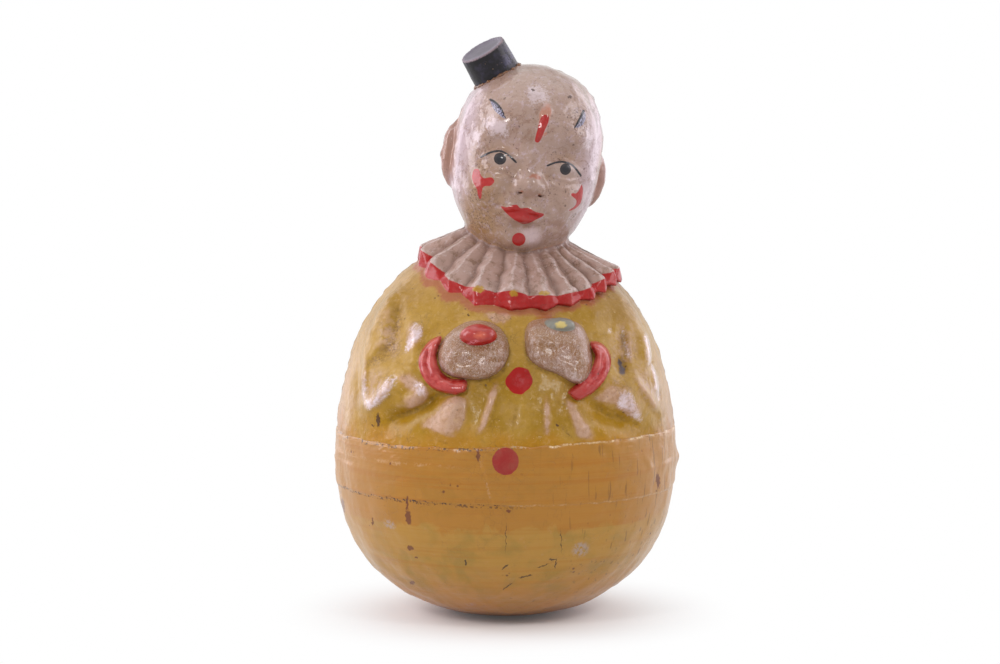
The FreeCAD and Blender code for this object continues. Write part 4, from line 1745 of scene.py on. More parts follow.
@dataclass
class Belt:
    """Painted strip of cloth tape over the joint, with its lapped end and the ridge of the joint under it."""

    bowl: Bowl
    torso: Torso
    low: float = 54.5
    high: float = 78.9
    thick: float = 0.5
    under: float = 0.35
    ridge: float = 66.0
    turns: int = 640
    rows: int = 60

    def width(self, angle: Array, height: Array) -> Array:
        """Distance from the axis to the body under the tape, by angle from the front.

        Args:
            angle: angles from the front.
            height: heights.

        Returns:
            Distances.
        """
        joint = self.torso.joint
        wide, deep = self.torso.outline(np.maximum(height, joint), 0.0)
        upper = 1 / np.sqrt((np.sin(angle) / wide) ** 2 + (np.cos(angle) / deep) ** 2)
        return np.where(height > joint, upper, self.bowl.width(np.minimum(height, joint)))

    def build(self) -> None:
        """Makes the closed strip and its finish, and marks how far its edges and its lapped end are."""
        draw = np.random.default_rng(12)
        angle = np.linspace(-math.pi, math.pi, self.turns, endpoint=False)
        across = self.bowl.radius * np.sin(angle)

        def wander(height: float, waves: int) -> Array:
            """Uneven line round the body.

            Args:
                height: height of its waves.
                waves: number of waves.

            Returns:
                Its heights.
            """
            total = np.zeros_like(angle)
            for _ in range(waves):
                total += np.sin(angle * draw.integers(3, 60) + draw.uniform(0, 6.3)) / math.sqrt(waves)
            return total * height
        top = self.high + 0.03 * across * np.cos(angle).clip(0, 1) + wander(0.28, 12)
        bottom = self.low - 0.0125 * across * np.cos(angle).clip(0, 1) + wander(0.2, 12)
        outer, inner, marks = [], [], []
        for row in range(self.rows + 1):
            share = row / self.rows
            share = share - 0.65 * math.sin(2 * math.pi * share) / (2 * math.pi)
            height = bottom + (top - bottom) * share
            base = self.width(angle, height)
            ring = np.column_stack([base * np.sin(angle), -base * np.cos(angle), height])
            lumps = sum(swell(ring) for swell in self.bowl.swell)
            edge = np.minimum(height - bottom, top - height)
            lift = (self.thick + 0.3) * np.sin(np.clip(edge / 1.8, 0.0, 1.0) * math.pi / 2) - 0.3
            past_lap = across + 11.0 - 0.26 * (77 - height)
            lapped = np.clip(past_lap / 0.8, 0, 1)
            lapped = lapped * np.clip((4.0 - across) / 6.0, 0, 1) * (np.cos(angle) > 0)
            lift = lift * (1 + 0.7 * lapped)
            lift += 0.16 * np.exp(-((height - self.ridge) / 1.1) ** 2)
            for side, size in ((1, 1.5), (-1, 0.7)):
                turn = np.degrees(np.arccos(np.clip(np.cos(angle - side * math.pi / 2), -1, 1)))
                tall = 3.4 + side * 0.6
                lift += size * np.exp(-(turn / 4.0) ** 2 - ((height - self.bowl.joint) / tall) ** 2)
            lift += sum(size * (0.5 + lumpy(ring)).clip(0, 1) * np.exp(-(gap / wide) ** 2)
                        for size, lumpy, gap, wide in (
                            (0.36, Ripple(5.0, 0.7, 61), top - height - 0.75, 0.32),
                            (0.14, Ripple(2.4, 0.8, 62), height - bottom - 0.8, 0.3)))
            wrinkle = np.abs(across - 58.0 + 0.35 * (height - self.ridge)) * 0.8
            lift += 0.3 * np.exp(-wrinkle ** 2) * np.exp(-((height - 68.0) / 5.0) ** 2) * (np.cos(angle) > 0)
            for surface, rise in ((outer, lift), (inner, np.full_like(lift, -self.under))):
                out = base - lumps + rise
                surface.append(np.column_stack([out * np.sin(angle), -out * np.cos(angle), height]))
            marks.append(np.stack([height - bottom, top - height, np.abs(past_lap)]))
        vertices = np.concatenate(outer + inner[::-1])
        faces = loft(2 * (self.rows + 1), self.turns, True)
        piece = add_piece("belt_tape_cloth", vertices, faces, Finish.TAPE, "belt_tape")
        write_marks(piece, dict(zip(("above_edge", "below_edge", "lap_edge"), np.concatenate(marks, 1))))
        piece.data.materials.append(BandPaint().material(Finish.TAPE.value, True))


@dataclass
class Hat:
    """Small turned hat with a worn edge, and the glue round its foot."""

    figure: Figure
    foot: Triple = (-3.5, -1.5, 224.02)
    lean_side: float = 29.4
    lean_front: float = 15.0
    foot_radius: float = 10.1
    top_radius: float = 9.7
    height: float = 13.0
    edge: float = 0.75
    dish: Ring = ((8.3, 0), (8, 0.12), (7.7, 0.3), (6.8, 0.36), (5, 0.4), (3.2, 0.4), (1.4, 0.4))
    turns: int = 144

    def axes(self) -> Array:
        """Rows of the hat's own directions: across, back and along its axis.

        Returns:
            Three rows of directions.
        """
        side, front = math.radians(self.lean_side), math.radians(self.lean_front)
        up = np.array([-math.sin(side) * math.cos(front), -math.sin(front), math.cos(side) * math.cos(front)])
        across = unit(np.cross(np.array([0.0, 1.0, 0.0]), up))
        return np.array([across, np.cross(up, across), up])

    def contact(self, radius: float) -> Array:
        """Height along the axis at which a line beside it meets the head, all the way round.

        Args:
            radius: distance of the line from the axis.

        Returns:
            Heights.
        """
        start, way = self.ring(radius, 0.0), self.axes()[2]
        low, high = np.full(self.turns, -9.0), np.full(self.turns, 9.0)
        for _ in range(22):
            middle = (low + high) / 2
            inside = self.figure.outside(start + middle[:, None] * way) < 0
            low, high = np.where(inside, middle, low), np.where(inside, high, middle)
        return (low + high) / 2

    def ring(self, radius: Array | float, along: Array | float) -> Array:
        """Ring of points about the axis.

        Args:
            radius: distance from the axis.
            along: height along it.

        Returns:
            The points.
        """
        angles = np.linspace(0, 2 * math.pi, self.turns, endpoint=False)
        axes = self.axes()
        sideways = np.cos(angles)[:, None] * axes[0] + np.sin(angles)[:, None] * axes[1]
        radius, along = np.reshape(radius, (-1, 1)), np.reshape(along, (-1, 1))
        return np.array(self.foot) + sideways * radius + along * axes[2]

    def build(self) -> None:
        """Makes the closed hat and its finish."""
        foot = self.contact(self.foot_radius) - 0.5
        top, edge = self.height, self.edge
        rows = [(self.foot_radius + (self.top_radius - self.foot_radius) * share,
                 foot + (top - edge - foot) * share) for share in np.linspace(0, 1, 26)]
        rows += [(self.top_radius - edge * (1 - math.cos(angle)), top - edge + edge * math.sin(angle))
                 for angle in np.linspace(0, math.pi / 2, 7)[1:]]
        rows += [(radius, top - drop) for radius, drop in self.dish]
        vertices = []
        chips = Ripple(2.4, 0.09, 31), Ripple(7.0, 0.06, 32), Ripple(1.1, 0.04, 33)
        for radius, along in rows:
            ring = self.ring(radius, along)
            worn = np.exp(-((along - top) / 1.2) ** 2) * np.exp(-(radius - self.top_radius) ** 2)
            bumps = chips[1](ring) * 0.6 + (chips[0](ring) + chips[2](ring)) * (0.25 + worn)
            vertices.append(self.ring(radius - bumps * (radius > 2), along - np.maximum(bumps, 0) * worn))
        count = self.turns
        under = self.ring(self.foot_radius - 3.0, self.contact(self.foot_radius - 3.0) - 0.5)
        vertices = [under, *vertices]
        middle = self.ring(0.0, top - self.dish[-1][1])[:1]
        places = np.concatenate([*vertices, under.mean(0, keepdims=True), middle])
        faces = loft(len(vertices), count, False)
        last = (len(vertices) - 1) * count
        for turn in range(count):
            one, two = turn, (turn + 1) % count
            faces.append([two, one, len(places) - 2])
            faces.append([last + one, last + two, len(places) - 1])
        piece = add_piece("hat_turned", places, faces, Finish.HAT, "hat")
        local = (places - np.array(self.foot)) @ self.axes().T
        write_marks(piece, {"along": local[:, 2], "out": np.hypot(local[:, 0], local[:, 1])})
        piece.data.materials.append(HatPaint().material("painted_hat"))

    def build_glue(self) -> None:
        """Makes the uneven bead of glue in the corner between hat and head, and its finish."""
        draw = np.random.default_rng(44)
        angles = np.linspace(0, 2 * math.pi, self.turns, endpoint=False)
        size = np.full(self.turns, 0.55)
        for _ in range(16):
            size += 0.11 * np.sin(angles * draw.integers(2, 28) + draw.uniform(0, 6.3))
        size = np.clip(size, 0.22, 1.15)
        inner, outer = self.contact(self.foot_radius - 0.4), self.contact(self.foot_radius + 1.2)
        slope = (outer - inner) / 1.6
        rows = []
        for corner in np.linspace(0, 2 * math.pi, 14, endpoint=False):
            out = self.foot_radius + 0.1 + size * (0.9 * math.cos(corner) + 0.15)
            along = inner + slope * (out - self.foot_radius + 0.4) + size * 0.75 * math.sin(corner) + 0.1
            rows.append(self.ring(out, along))
        rows = [row - Ripple(1.5, 0.12, 51)(row)[:, None] * self.axes()[2] for row in rows]
        faces = loft(len(rows), self.turns, True)
        piece = add_piece("hat_glue_bead", np.concatenate(rows), faces, Finish.GLUE, "hat_glue")
        piece.data.materials.append(GLUE_FINISH.material(Finish.GLUE.value))


def to_linear(colour: Colour) -> "Colour | tuple[float, ...]":
    """Screen colour from 0 to 255 as the linear colour that a shader takes; a socket stays as it is.

    Args:
        colour: three channels, or a socket.

    Returns:
        Four channels, or the socket.
    """
    if isinstance(colour, Socket):
        return colour
    shares = [channel / 255 for channel in colour]
    return *(share / 12.92 if share <= 0.04045 else ((share + 0.055) / 1.055) ** 2.4 for share in shares), 1.0


def add_node(tree: bpy.types.NodeTree, kind: str, settings: dict | None = None,
             sockets: dict | None = None) -> bpy.types.Node:
    """Adds a node of any type.

    Args:
        tree: node tree that gets it.
        kind: type of the node.
        settings: its own settings, set first.
        sockets: values, terms or sockets for its inputs.

    Returns:
        The node.
    """
    node = tree.nodes.new(kind)
    for name, value in (settings or {}).items():
        setattr(node, name, value)
    for name, value in (sockets or {}).items():
        if isinstance(value, Term):
            value = value.socket
        if isinstance(value, Socket):
            tree.links.new(value, node.inputs[name])
        else:
            node.inputs[name].default_value = value
    return node


@dataclass(frozen=True)
class Term:
    """Number in a material, which sums and products written in Python turn into Math nodes."""

    tree: bpy.types.NodeTree
    socket: Socket

    def math(self, operation: str, *terms: Number) -> "Term":
        """Result of a Math node on some numbers."""
        return Term(self.tree, add_node(self.tree, "ShaderNodeMath", {"operation": operation},
                                        dict(enumerate(terms))).outputs[0])

    def __add__(self, other: Number) -> "Term":
        """Sum."""
        return self.math("ADD", self, other)

    def __sub__(self, other: Number) -> "Term":
        """Difference."""
        return self.math("SUBTRACT", self, other)

    def __rsub__(self, other: float) -> "Term":
        """Difference, the other way round."""
        return self.math("SUBTRACT", other, self)

    def __mul__(self, other: Number) -> "Term":
        """Product."""
        return self.math("MULTIPLY", self, other)

    def __neg__(self) -> "Term":
        """Number with its sign changed."""
        return self * -1.0

    def __abs__(self) -> "Term":
        """Number without its sign."""
        return self.math("ABSOLUTE", self)

    def over(self, other: Number) -> "Term":
        """Larger of two numbers."""
        return self.math("MAXIMUM", self, other)

    def under(self, other: Number) -> "Term":
        """Smaller of two numbers."""
        return self.math("MINIMUM", self, other)

    def rising(self, low: float, high: float) -> "Term":
        """Smooth step from 0 at the low number to 1 at the high one; falls if low is above high.

        Args:
            low: number at which the step is 0.
            high: number at which it is 1.

        Returns:
            The step.
        """
        if low > high:
            return 1.0 - self.rising(high, low)
        node = add_node(self.tree, "ShaderNodeMapRange", {"interpolation_type": "SMOOTHSTEP"},
                        {"Value": self, "From Min": low, "From Max": high})
        return Term(self.tree, node.outputs["Result"])

    __radd__ = __add__
    __rmul__ = __mul__


class Mix:
    """One material or world while it is mixed: its nodes, with the sizes of its patterns in millimetres."""

    def __init__(self, owner: bpy.types.Material | bpy.types.World) -> None:
        """Starts with no nodes.

        Args:
            owner: material or world that the nodes are for.
        """
        owner.use_nodes = True
        self.owner = owner
        self.tree = owner.node_tree
        self.tree.nodes.clear()

    def node(self, kind: str, settings: dict | None = None, **sockets: "Number | Colour") -> bpy.types.Node:
        """Adds a node; an input is named by its words joined with _, or by in and its number.

        Args:
            kind: type of the node.
            settings: its own settings.
            sockets: values or links.

        Returns:
            The node.
        """
        named = {int(name[2:]) if name[2:].isdigit() else name.replace("_", " "): value
                 for name, value in sockets.items()}
        return add_node(self.tree, kind, settings, named)

    def vector(self, operation: str, *values: Socket | Triple) -> Socket:
        """Result of a Vector Math node; a length or distance is a number."""
        node = add_node(self.tree, "ShaderNodeVectorMath", {"operation": operation}, dict(enumerate(values)))
        return node.outputs["Value" if operation in ("LENGTH", "DISTANCE") else "Vector"]

    @cached_property
    def place(self) -> Socket:
        """Places on the object in millimetres."""
        return self.stretched((1 / MM,) * 3, self.node("ShaderNodeTexCoord").outputs["Object"])

    def drawn(self, name: str) -> Term:
        """Number that the mesh holds at each point."""
        node = self.node("ShaderNodeAttribute", {"attribute_type": "GEOMETRY", "attribute_name": name})
        return Term(self.tree, node.outputs["Fac"])

    def axis(self, number: int) -> Term:
        """Place along one axis in millimetres."""
        return Term(self.tree, self.node("ShaderNodeSeparateXYZ", Vector=self.place).outputs[number])

    def stretched(self, factors: Triple, place: Socket | None = None) -> Socket:
        """Places multiplied along each axis, for streaks and grain."""
        return self.vector("MULTIPLY", place or self.place, factors)

    def bent(self, scale: float, detail: float, reach: float) -> Socket:
        """Places pushed about by a noise, for wavy lines and rims."""
        bend = self.node("ShaderNodeTexNoise", Vector=self.place, Scale=scale, Detail=detail)
        return self.vector("MULTIPLY_ADD", bend.outputs["Color"], (reach,) * 3, self.place)

    def noise(self, size: float, detail: float = 3.0, rough: float = 0.55, twist: float = 0.0,
              place: Socket | None = None) -> Term:
        """Cloudy noise about 0.5 with lumps of a size in millimetres.

        Args:
            size: size of the lumps.
            detail: number of finer layers.
            rough: their strength.
            twist: how far it is bent.
            place: places at which it is read.

        Returns:
            The noise.
        """
        node = self.node("ShaderNodeTexNoise", Vector=place or self.place, Scale=1 / size, Detail=detail,
                         Roughness=rough, Distortion=twist)
        return Term(self.tree, node.outputs["Fac"])

    def cells(self, size: float, feature: str = "F1", place: Socket | None = None) -> Term:
        """Distance within a pattern of cells of a size in millimetres.

        Args:
            size: size of a cell.
            feature: what the distance is to.
            place: places at which it is read.

        Returns:
            The distance.
        """
        place = place or self.place
        node = self.node("ShaderNodeTexVoronoi", {"feature": feature}, Vector=place, Scale=1 / size)
        return Term(self.tree, node.outputs["Distance"])

    def blots(self, *spots: Blot) -> Term:
        """Size of the nearest of some wavy spots on the front, seen from the front: 1 on its rim.

        Args:
            spots: place across and up, half width, half height and degrees of each.

        Returns:
            The size.
        """
        place = self.bent(0.8, 4.0, 2.0)
        behind = self.axis(1).rising(-8.0, 0.0) * 9.0
        best = behind + 9.0
        for across, up, wide, tall, turn in spots:
            own = self.node("ShaderNodeMapping", {"vector_type": "TEXTURE"}, Vector=place,
                            Location=(across + 1.0, 0.0, up + 1.0), Rotation=(0.0, math.radians(turn), 0.0),
                            Scale=(wide, 900.0, tall))
            best = best.under(Term(self.tree, self.vector("LENGTH", own.outputs[0])) + behind)
        return best

    def layers(self, base: Colour, *coats: tuple[Colour, Number]) -> Colour:
        """First colour with others laid over it in turn, each by its share from 0 to 1.

        Args:
            base: first colour.
            coats: colour and share of each layer.

        Returns:
            The colour.
        """
        for colour, share in coats:
            node = self.node("ShaderNodeMix", {"data_type": "RGBA", "clamp_factor": True}, in0=share,
                             in6=to_linear(base), in7=to_linear(colour))
            base = node.outputs[2]
        return base

    def show(self, shader: bpy.types.Node, kind: str = "Material") -> None:
        """Makes a shader the surface."""
        self.node("ShaderNodeOutput" + kind, Surface=shader.outputs[0])

    def finish(self, base: Socket, rough: Number, height: Term, depth: float, coat: Number = 0.0,
               coat_rough: float = 0.1, specular: float = 0.5, metal: float = 0.0) -> bpy.types.Material:
        """Adds the surface shader.

        Args:
            base: base colour.
            rough: roughness.
            height: relief from 0 to 1.
            depth: height of that relief in millimetres.
            coat: weight of the varnish.
            coat_rough: roughness of the varnish.
            specular: strength of the plain gloss.
            metal: how far it is metal.

        Returns:
            The material.
        """
        bump = self.node("ShaderNodeBump", Height=height, Distance=depth * MM, Strength=1.0)
        self.show(self.node(
            "ShaderNodeBsdfPrincipled", Base_Color=base, Roughness=rough, Metallic=metal, Coat_Weight=coat,
            Coat_Roughness=coat_rough, Specular_IOR_Level=specular, Normal=bump.outputs[0]))
        return self.owner


@dataclass(frozen=True)
class Age:
    """Marks of age that all the painted pieces share: fine cracks in the varnish, pits and dirt."""

    crack_size: float = 3.4
    crack_width: float = 0.035
    dirt: Rgb = (72, 50, 34)

    def cracks(self, mix: Mix) -> Term:
        """Thin crack lines, 1 on a line, broken up by a cloud."""
        lines = mix.cells(self.crack_size, "DISTANCE_TO_EDGE", mix.bent(0.35, 3.0, 2.6))
        return lines.rising(self.crack_width, 0.006) * mix.noise(11.0, 2.0).rising(0.5, 0.66)

    def pits(self, mix: Mix, size: float, share: float = 0.36) -> Term:
        """Small dark spots, 1 in the middle of a spot."""
        few = mix.noise(size * 3.1, 2.0).rising(1 - share, 1.06 - share)
        return mix.cells(size).rising(0.3, 0.12) * few


@dataclass(frozen=True)
class ReliefPaint:
    """Old oil paint over the pressed shells: pale head and hands, yellow coat, red trimmings, all worn."""

    age: Age = Age()
    skin: Rgb = (168, 141, 127)
    skin_olive: Rgb = (152, 116, 74)
    skin_mauve: Rgb = (196, 176, 186)
    skin_stain: Rgb = (130, 90, 62)
    ear: Rgb = (160, 120, 102)
    hand: Rgb = (150, 112, 78)
    hand_worn: Rgb = (142, 98, 64)
    coat: Rgb = (178, 140, 58)
    coat_olive: Rgb = (158, 120, 24)
    coat_orange: Rgb = (180, 122, 8)
    coat_deep: Rgb = (166, 124, 0)
    coat_worn: Rgb = (200, 164, 142)
    ruff: Rgb = (174, 144, 132)
    ruff_shade: Rgb = (132, 102, 90)
    red: Rgb = (166, 16, 12)
    red_worn: Rgb = (170, 56, 50)
    ink: Rgb = (24, 20, 28)
    # Darker olive-brown blots, mostly in the creases of the left sleeve.
    dark_blots: Sequence[Blot] = (
        (-43.6, 124, 1.6, 6, 12), (-46, 114.5, 3.4, 3.6, 30), (-52, 109.6, 5.5, 1.8, -25),
        (24, 84, 3.4, 0.6, 48))
    spots: Sequence[Blot] = (
        (-51.3, 86.4, 0.8, 2.8, 0), (26, 215.5, 0.9, 0.6, 0), (11, 218.2, 0.6, 0.5, 0),
        (20.5, 86.6, 0.5, 0.5, 0), (-53.6, 84, 0.5, 0.4, 0), (-15, 128.5, 0.6, 0.6, 0))
    dirt: Sequence[Blot] = (
        (-11, 165.9, 7, 5, 20), (17.8, 176.9, 3.2, 3.4, 0), (-9, 190, 4, 6, 0),
        (30, 205, 4, 7, -10), (-12, 176, 4, 3, 0), (-5.3, 127.4, 1.2, 1, 0),
        (1.3, 127.4, 0.9, 0.9, 0), (28, 148, 3, 2, 0), (20, 147.5, 2.4, 2, 0))
    # Painted sheen: places on sleeves and shoulders painted a pale lavender veil that stands in for the
    # lamps' reflection.
    sheen_blots: Sequence[Blot] = (
        (48, 115.5, 6.5, 11, 8), (57.5, 99, 5.5, 12, -25), (44, 100, 5, 5, 30),
        (-47, 119, 5, 9, -10), (-53, 99, 5, 9, 20))
    pleat_spots: Sequence[Blot] = (
        (-11, 138.6, 2.5, 1.5, 0), (3.2, 137.2, 1.8, 1.6, 0), (15.6, 137.2, 2.4, 1, 0))
    # Painted shade: slate grey in the deep crease behind the right cuff.
    crease_shade: Sequence[Blot] = ((46, 108.6, 0.7, 1.9, -15), (46.8, 106, 1.3, 1.9, -20))
    chin: Blot = (10.5, 159.3, 5.4, 4.6, -10)
    # Painted highlights on the ball: a hot spot in its middle and a pink glint at its lower left.
    gleams: Sequence[Blot] = ((-10.2, 122.2, 2.4, 1.4, 0), (-12.9, 119.3, 2.4, 0.9, -15))

    def flesh(self, mix: Mix, patch: Term, wide: Term) -> Colour:
        """Pale paint of the head, browner on one jaw, with a painted lavender sheen at the sides, stained and
        speckled.

        Args:
            mix: material in the making.
            patch: noise in large patches.
            wide: depth below the wider surroundings.

        Returns:
            The colour.
        """
        across, up = mix.axis(0), mix.axis(2)
        left = across.rising(6.0, -10.0)
        low = (up + (mix.noise(16.0) - 0.5) * 40).rising(200.0, 172.0)
        aside = abs(across - 8.4 - (up - 189.0) * 0.167) + (patch - 0.5) * 5
        clouds, fine = mix.noise(3.4, 6.0, 0.72, 0.6), mix.noise(1.5, 5.0, 0.7)
        stains = mix.noise(6.5, 5.0, 0.7, 0.8)
        ear = aside.rising(28.0, 31.0) * up.rising(158.0, 170.0) * up.rising(216.0, 208.0)
        specks = mix.noise(0.8, 2.0).rising(0.6, 0.7) * stains.rising(0.42, 0.58)
        return mix.layers(
            self.skin,
            (self.skin_olive, low * (0.1 + left * 0.8) * (0.4 + patch)),
            # Painted sheen: lavender towards the sides of the head, where the lamps' reflection lies.
            (self.skin_mauve, aside.rising(19.0, 29.0) * 0.75),
            (self.skin_mauve, (clouds * 0.6 + fine * 0.4).rising(0.5, 0.62) * 0.5),
            (self.skin_stain, (stains * 0.7 + fine * 0.3).rising(0.5, 0.64) * 0.55),
            (self.skin_olive, wide.rising(0.1, 1.0) * 0.5),
            (self.ear, ear * (0.6 + patch * 0.6)),
            (self.age.dirt, specks * 0.7))

    def palm(self, mix: Mix, patch: Term, grain: Term, fine: Term) -> Colour:
        """Greyish paint of the hands, rubbed through to brown with fine scratches, and a painted highlight
        along their ridges.

        Args:
            mix: material in the making.
            patch: noise in large patches.
            grain: fine noise.
            fine: depth below the close surroundings.

        Returns:
            The colour.
        """
        rubbed = mix.noise(3.2, 5.0, 0.7, 0.6).rising(0.46, 0.66) * mix.axis(2).rising(122.0, 117.0)
        dark, pale = [
            mix.noise(size, 4.0, 0.7, 2.5, mix.stretched(stretch)).rising(0.54, 0.6) * grain.rising(0.3, 0.5)
            for size, stretch in ((1.0, (0.5, 1.0, 2.4)), (0.9, (1.8, 1.0, 0.5)))]
        ridge = (-fine).rising(0.05, 0.2) * grain.rising(0.36, 0.6) * patch.rising(0.3, 0.6)
        return mix.layers(
            self.hand,
            (self.skin_mauve, patch.rising(0.45, 0.65) * 0.2),
            (self.hand_worn, rubbed * 0.85),
            ((104, 70, 46), dark * 0.85),
            ((214, 196, 190), pale * 0.85),
            # Painted highlight: pale along the ridges of the hands.
            ((218, 200, 196), ridge * 0.6),
            ((96, 62, 42), fine.rising(0.05, 0.25) * grain.rising(0.3, 0.6) * 0.5))

    def rubbed_coat(self, mix: Mix, paint: Colour, patch: Term, grain: Term, wide: Term) -> Colour:
        """Adds what the coat's front has: deep yellow in its folds, worn places that partly carry painted
        highlight, painted highlights, a painted lavender sheen and darker blots in the creases.

        Args:
            mix: material in the making.
            paint: colour under it.
            patch: noise in large patches.
            grain: fine noise.
            wide: depth below the wider surroundings.

        Returns:
            The colour.
        """
        rub = mix.noise(3.0, 4.0, 0.7, 0.5).rising(0.36, 0.6)
        painted_sheen = mix.blots(*self.sheen_blots).rising(1.3, 0.2) * mix.noise(2.4, 5.0, 0.7, 0.6).rising(0.36, 0.62)
        deep = (patch - 0.5) * 9 - mix.drawn("deep") + wide * 2
        worn = (patch - 0.5) * 4 + (grain - 0.5) * 2 - mix.drawn("worn") - wide
        # Painted highlight: near-white lavender where the lamps' reflections fall on the folds.
        highlight_share = (patch - 0.5) * 3 + (mix.noise(0.9, 4.0, 0.75) - 0.5) * 5 - mix.drawn("shine")
        # Darker olive-brown within the blots, broken up by a fine noise.
        darkened = mix.blots(*self.dark_blots).rising(1.6, 0.3) * mix.noise(0.8, 4.0, 0.75).rising(0.4, 0.62)
        return mix.layers(
            paint,
            # Painted sheen: a pale lavender veil of reflected light.
            ((190, 158, 146), painted_sheen * 0.6),
            (self.coat_deep, deep.rising(-3.0, 4.0) * 0.9),
            # Worn paint that is partly painted highlight: pale where the folds stand out.
            ((176, 134, 84), worn.rising(-1.2, 0.3) * 0.5),
            (mix.layers((180, 140, 108), (self.coat_worn, rub)), worn.rising(0.0, 1.4) * 0.85),
            (mix.layers((200, 168, 150), ((240, 226, 236), rub)), highlight_share.rising(-0.6, 1.3) * 0.85),
            ((112, 82, 50), darkened * 0.75))

    def cloth(self, mix: Mix, patch: Term, grain: Term, wide: Term, fine: Term, relief: bool) -> Colour:
        """Yellow paint of the coat, with what only the front has where the piece is the front.

        Args:
            mix: material in the making.
            patch: noise in large patches.
            grain: fine noise.
            wide: depth below the wider surroundings.
            fine: depth below the close surroundings.
            relief: whether the piece is the front.

        Returns:
            The colour.
        """
        across, up = mix.axis(0), mix.axis(2)
        high = (up + (patch - 0.5) * 16).rising(126.0, 142.0)
        right_shade = (across + (patch - 0.5) * 14).rising(30.0, 46.0) * up.rising(118.0, 130.0)
        low = up + (mix.noise(15.0) - 0.5) * 22
        side_sheen = abs(across) + (patch - 0.5) * 14
        paint = mix.layers(
            self.coat,
            (self.coat_olive, mix.noise(24.0, 4.0, 0.6).rising(0.4, 0.66)),
            ((178, 142, 92), patch.rising(0.52, 0.72) * 0.3 + high * 0.35),
            # Painted shade: darker olive on the right shoulder, against the light of the right lamps.
            ((140, 106, 58), right_shade * 0.5),
            (self.coat_orange, low.rising(88.0, 77.0) * 0.7),
            # Painted sheen: pale pink towards the coat's outline, where the side lamps' reflection lies.
            ((198, 164, 152), side_sheen.rising(59, 71) * 0.45))
        if relief:
            paint = self.rubbed_coat(mix, paint, patch, grain, wide)
        mottle = mix.noise(2.2, 6.0, 0.75, 0.4)
        flecks = mix.noise(1.4, 3.0, 0.6).rising(0.66, 0.72) * mix.noise(12.0).rising(0.45, 0.6)
        grime = mix.layers(self.age.dirt, ((120, 92, 40), patch.rising(0.35, 0.6)))
        return mix.layers(
            paint,
            (self.coat_worn, (-wide).rising(0.35, 0.9) * patch.rising(0.35, 0.6) * 0.5),
            ((140, 104, 44), mottle.rising(0.52, 0.68) * 0.4),
            ((200, 164, 108), mottle.rising(0.48, 0.34) * 0.35),
            ((212, 186, 140), flecks * 0.5),
            (grime, fine.rising(0.05, 0.25) * grain.rising(0.25, 0.7) * 0.6))

    def collar(self, mix: Mix, patch: Term, grain: Term, wide: Term, fine: Term) -> Colour:
        """Dirty white paint of the ruff, darker in its valleys, with a painted highlight along its ridges.

        Args:
            mix: material in the making.
            patch: noise in large patches.
            grain: fine noise.
            wide: depth below the wider surroundings.
            fine: depth below the close surroundings.

        Returns:
            The colour.
        """
        valley = (wide + (patch - 0.5) * 0.9).rising(-0.1, 0.5)
        inner = (mix.drawn("rim_depth") + patch * 6).rising(-4.0, -11.0)
        inner = inner * (fine + patch * 0.1).rising(0.0, 0.14)
        return mix.layers(
            self.ruff,
            (self.ruff_shade, valley * 0.7),
            # Painted highlight: pale along the ridges of the pleats.
            ((208, 188, 182), (-fine).rising(0.03, 0.14) * grain.rising(0.3, 0.55) * 0.8),
            ((122, 92, 66), mix.noise(4, 6, 0.75).rising(0.5, 0.64) * 0.6),
            ((96, 70, 62), inner * 0.55),
            ((200, 184, 184), mix.noise(1.8, 6, 0.75).rising(0.55, 0.68) * 0.5),
            (self.age.dirt, fine.rising(0.06, 0.25) * grain.rising(0.3, 0.7) * 0.5))

    def scarlet(self, mix: Mix, patch: Term, grain: Term, wide: Term) -> Colour:
        """Red paint, rubbed thin on its high places.

        Args:
            mix: material in the making.
            patch: noise in large patches.
            grain: fine noise.
            wide: depth below the wider surroundings.

        Returns:
            The colour.
        """
        thin = (patch - 0.5) * 1.6 + (grain - 0.5) * 0.9 - wide * 0.7
        return mix.layers(self.red, (self.red_worn, thin.rising(0.1, 0.8) * 0.8),
                          ((110, 16, 20), wide.rising(0.2, 0.9) * 0.6))

    def reds(self, mix: Mix, wobble: Term, cuff: Term) -> Term:
        """Where cuffs, ball, buttons, lips and the face's marks are red.

        Args:
            mix: material in the making.
            wobble: noise that frays the rims.
            cuff: where the cuffs are.

        Returns:
            The share of red.
        """
        found = cuff.over((mix.drawn("on_ball") + wobble * 0.4).rising(-0.1, 0.1))
        for shape in ("buttons", "lips", "drop", "cheek_marks", "chin_dot"):
            loose = wobble * 0.5 + ((mix.noise(7.0, 2.0) - 0.5) * 3.0 if shape == "buttons" else 0.0)
            found = found.over((mix.drawn(shape) + loose).rising(0.15, -0.15))
        return found

    def pattern(self, mix: Mix, paint: Colour, scarlet: Colour, wobble: Term, patch: Term,
                palm: Colour) -> Colour:
        """Adds what only the front has: hands, ball and knob, cuffs, buttons and the marks of the face, with
        painted highlights on face, ball and cuffs and a painted shade in a crease.

        Args:
            mix: material in the making.
            paint: colour under it.
            scarlet: red paint.
            wobble: noise that frays the rims.
            patch: noise in large patches.
            palm: paint of the hands.

        Returns:
            The colour.
        """
        drawn, blots = mix.drawn, mix.blots
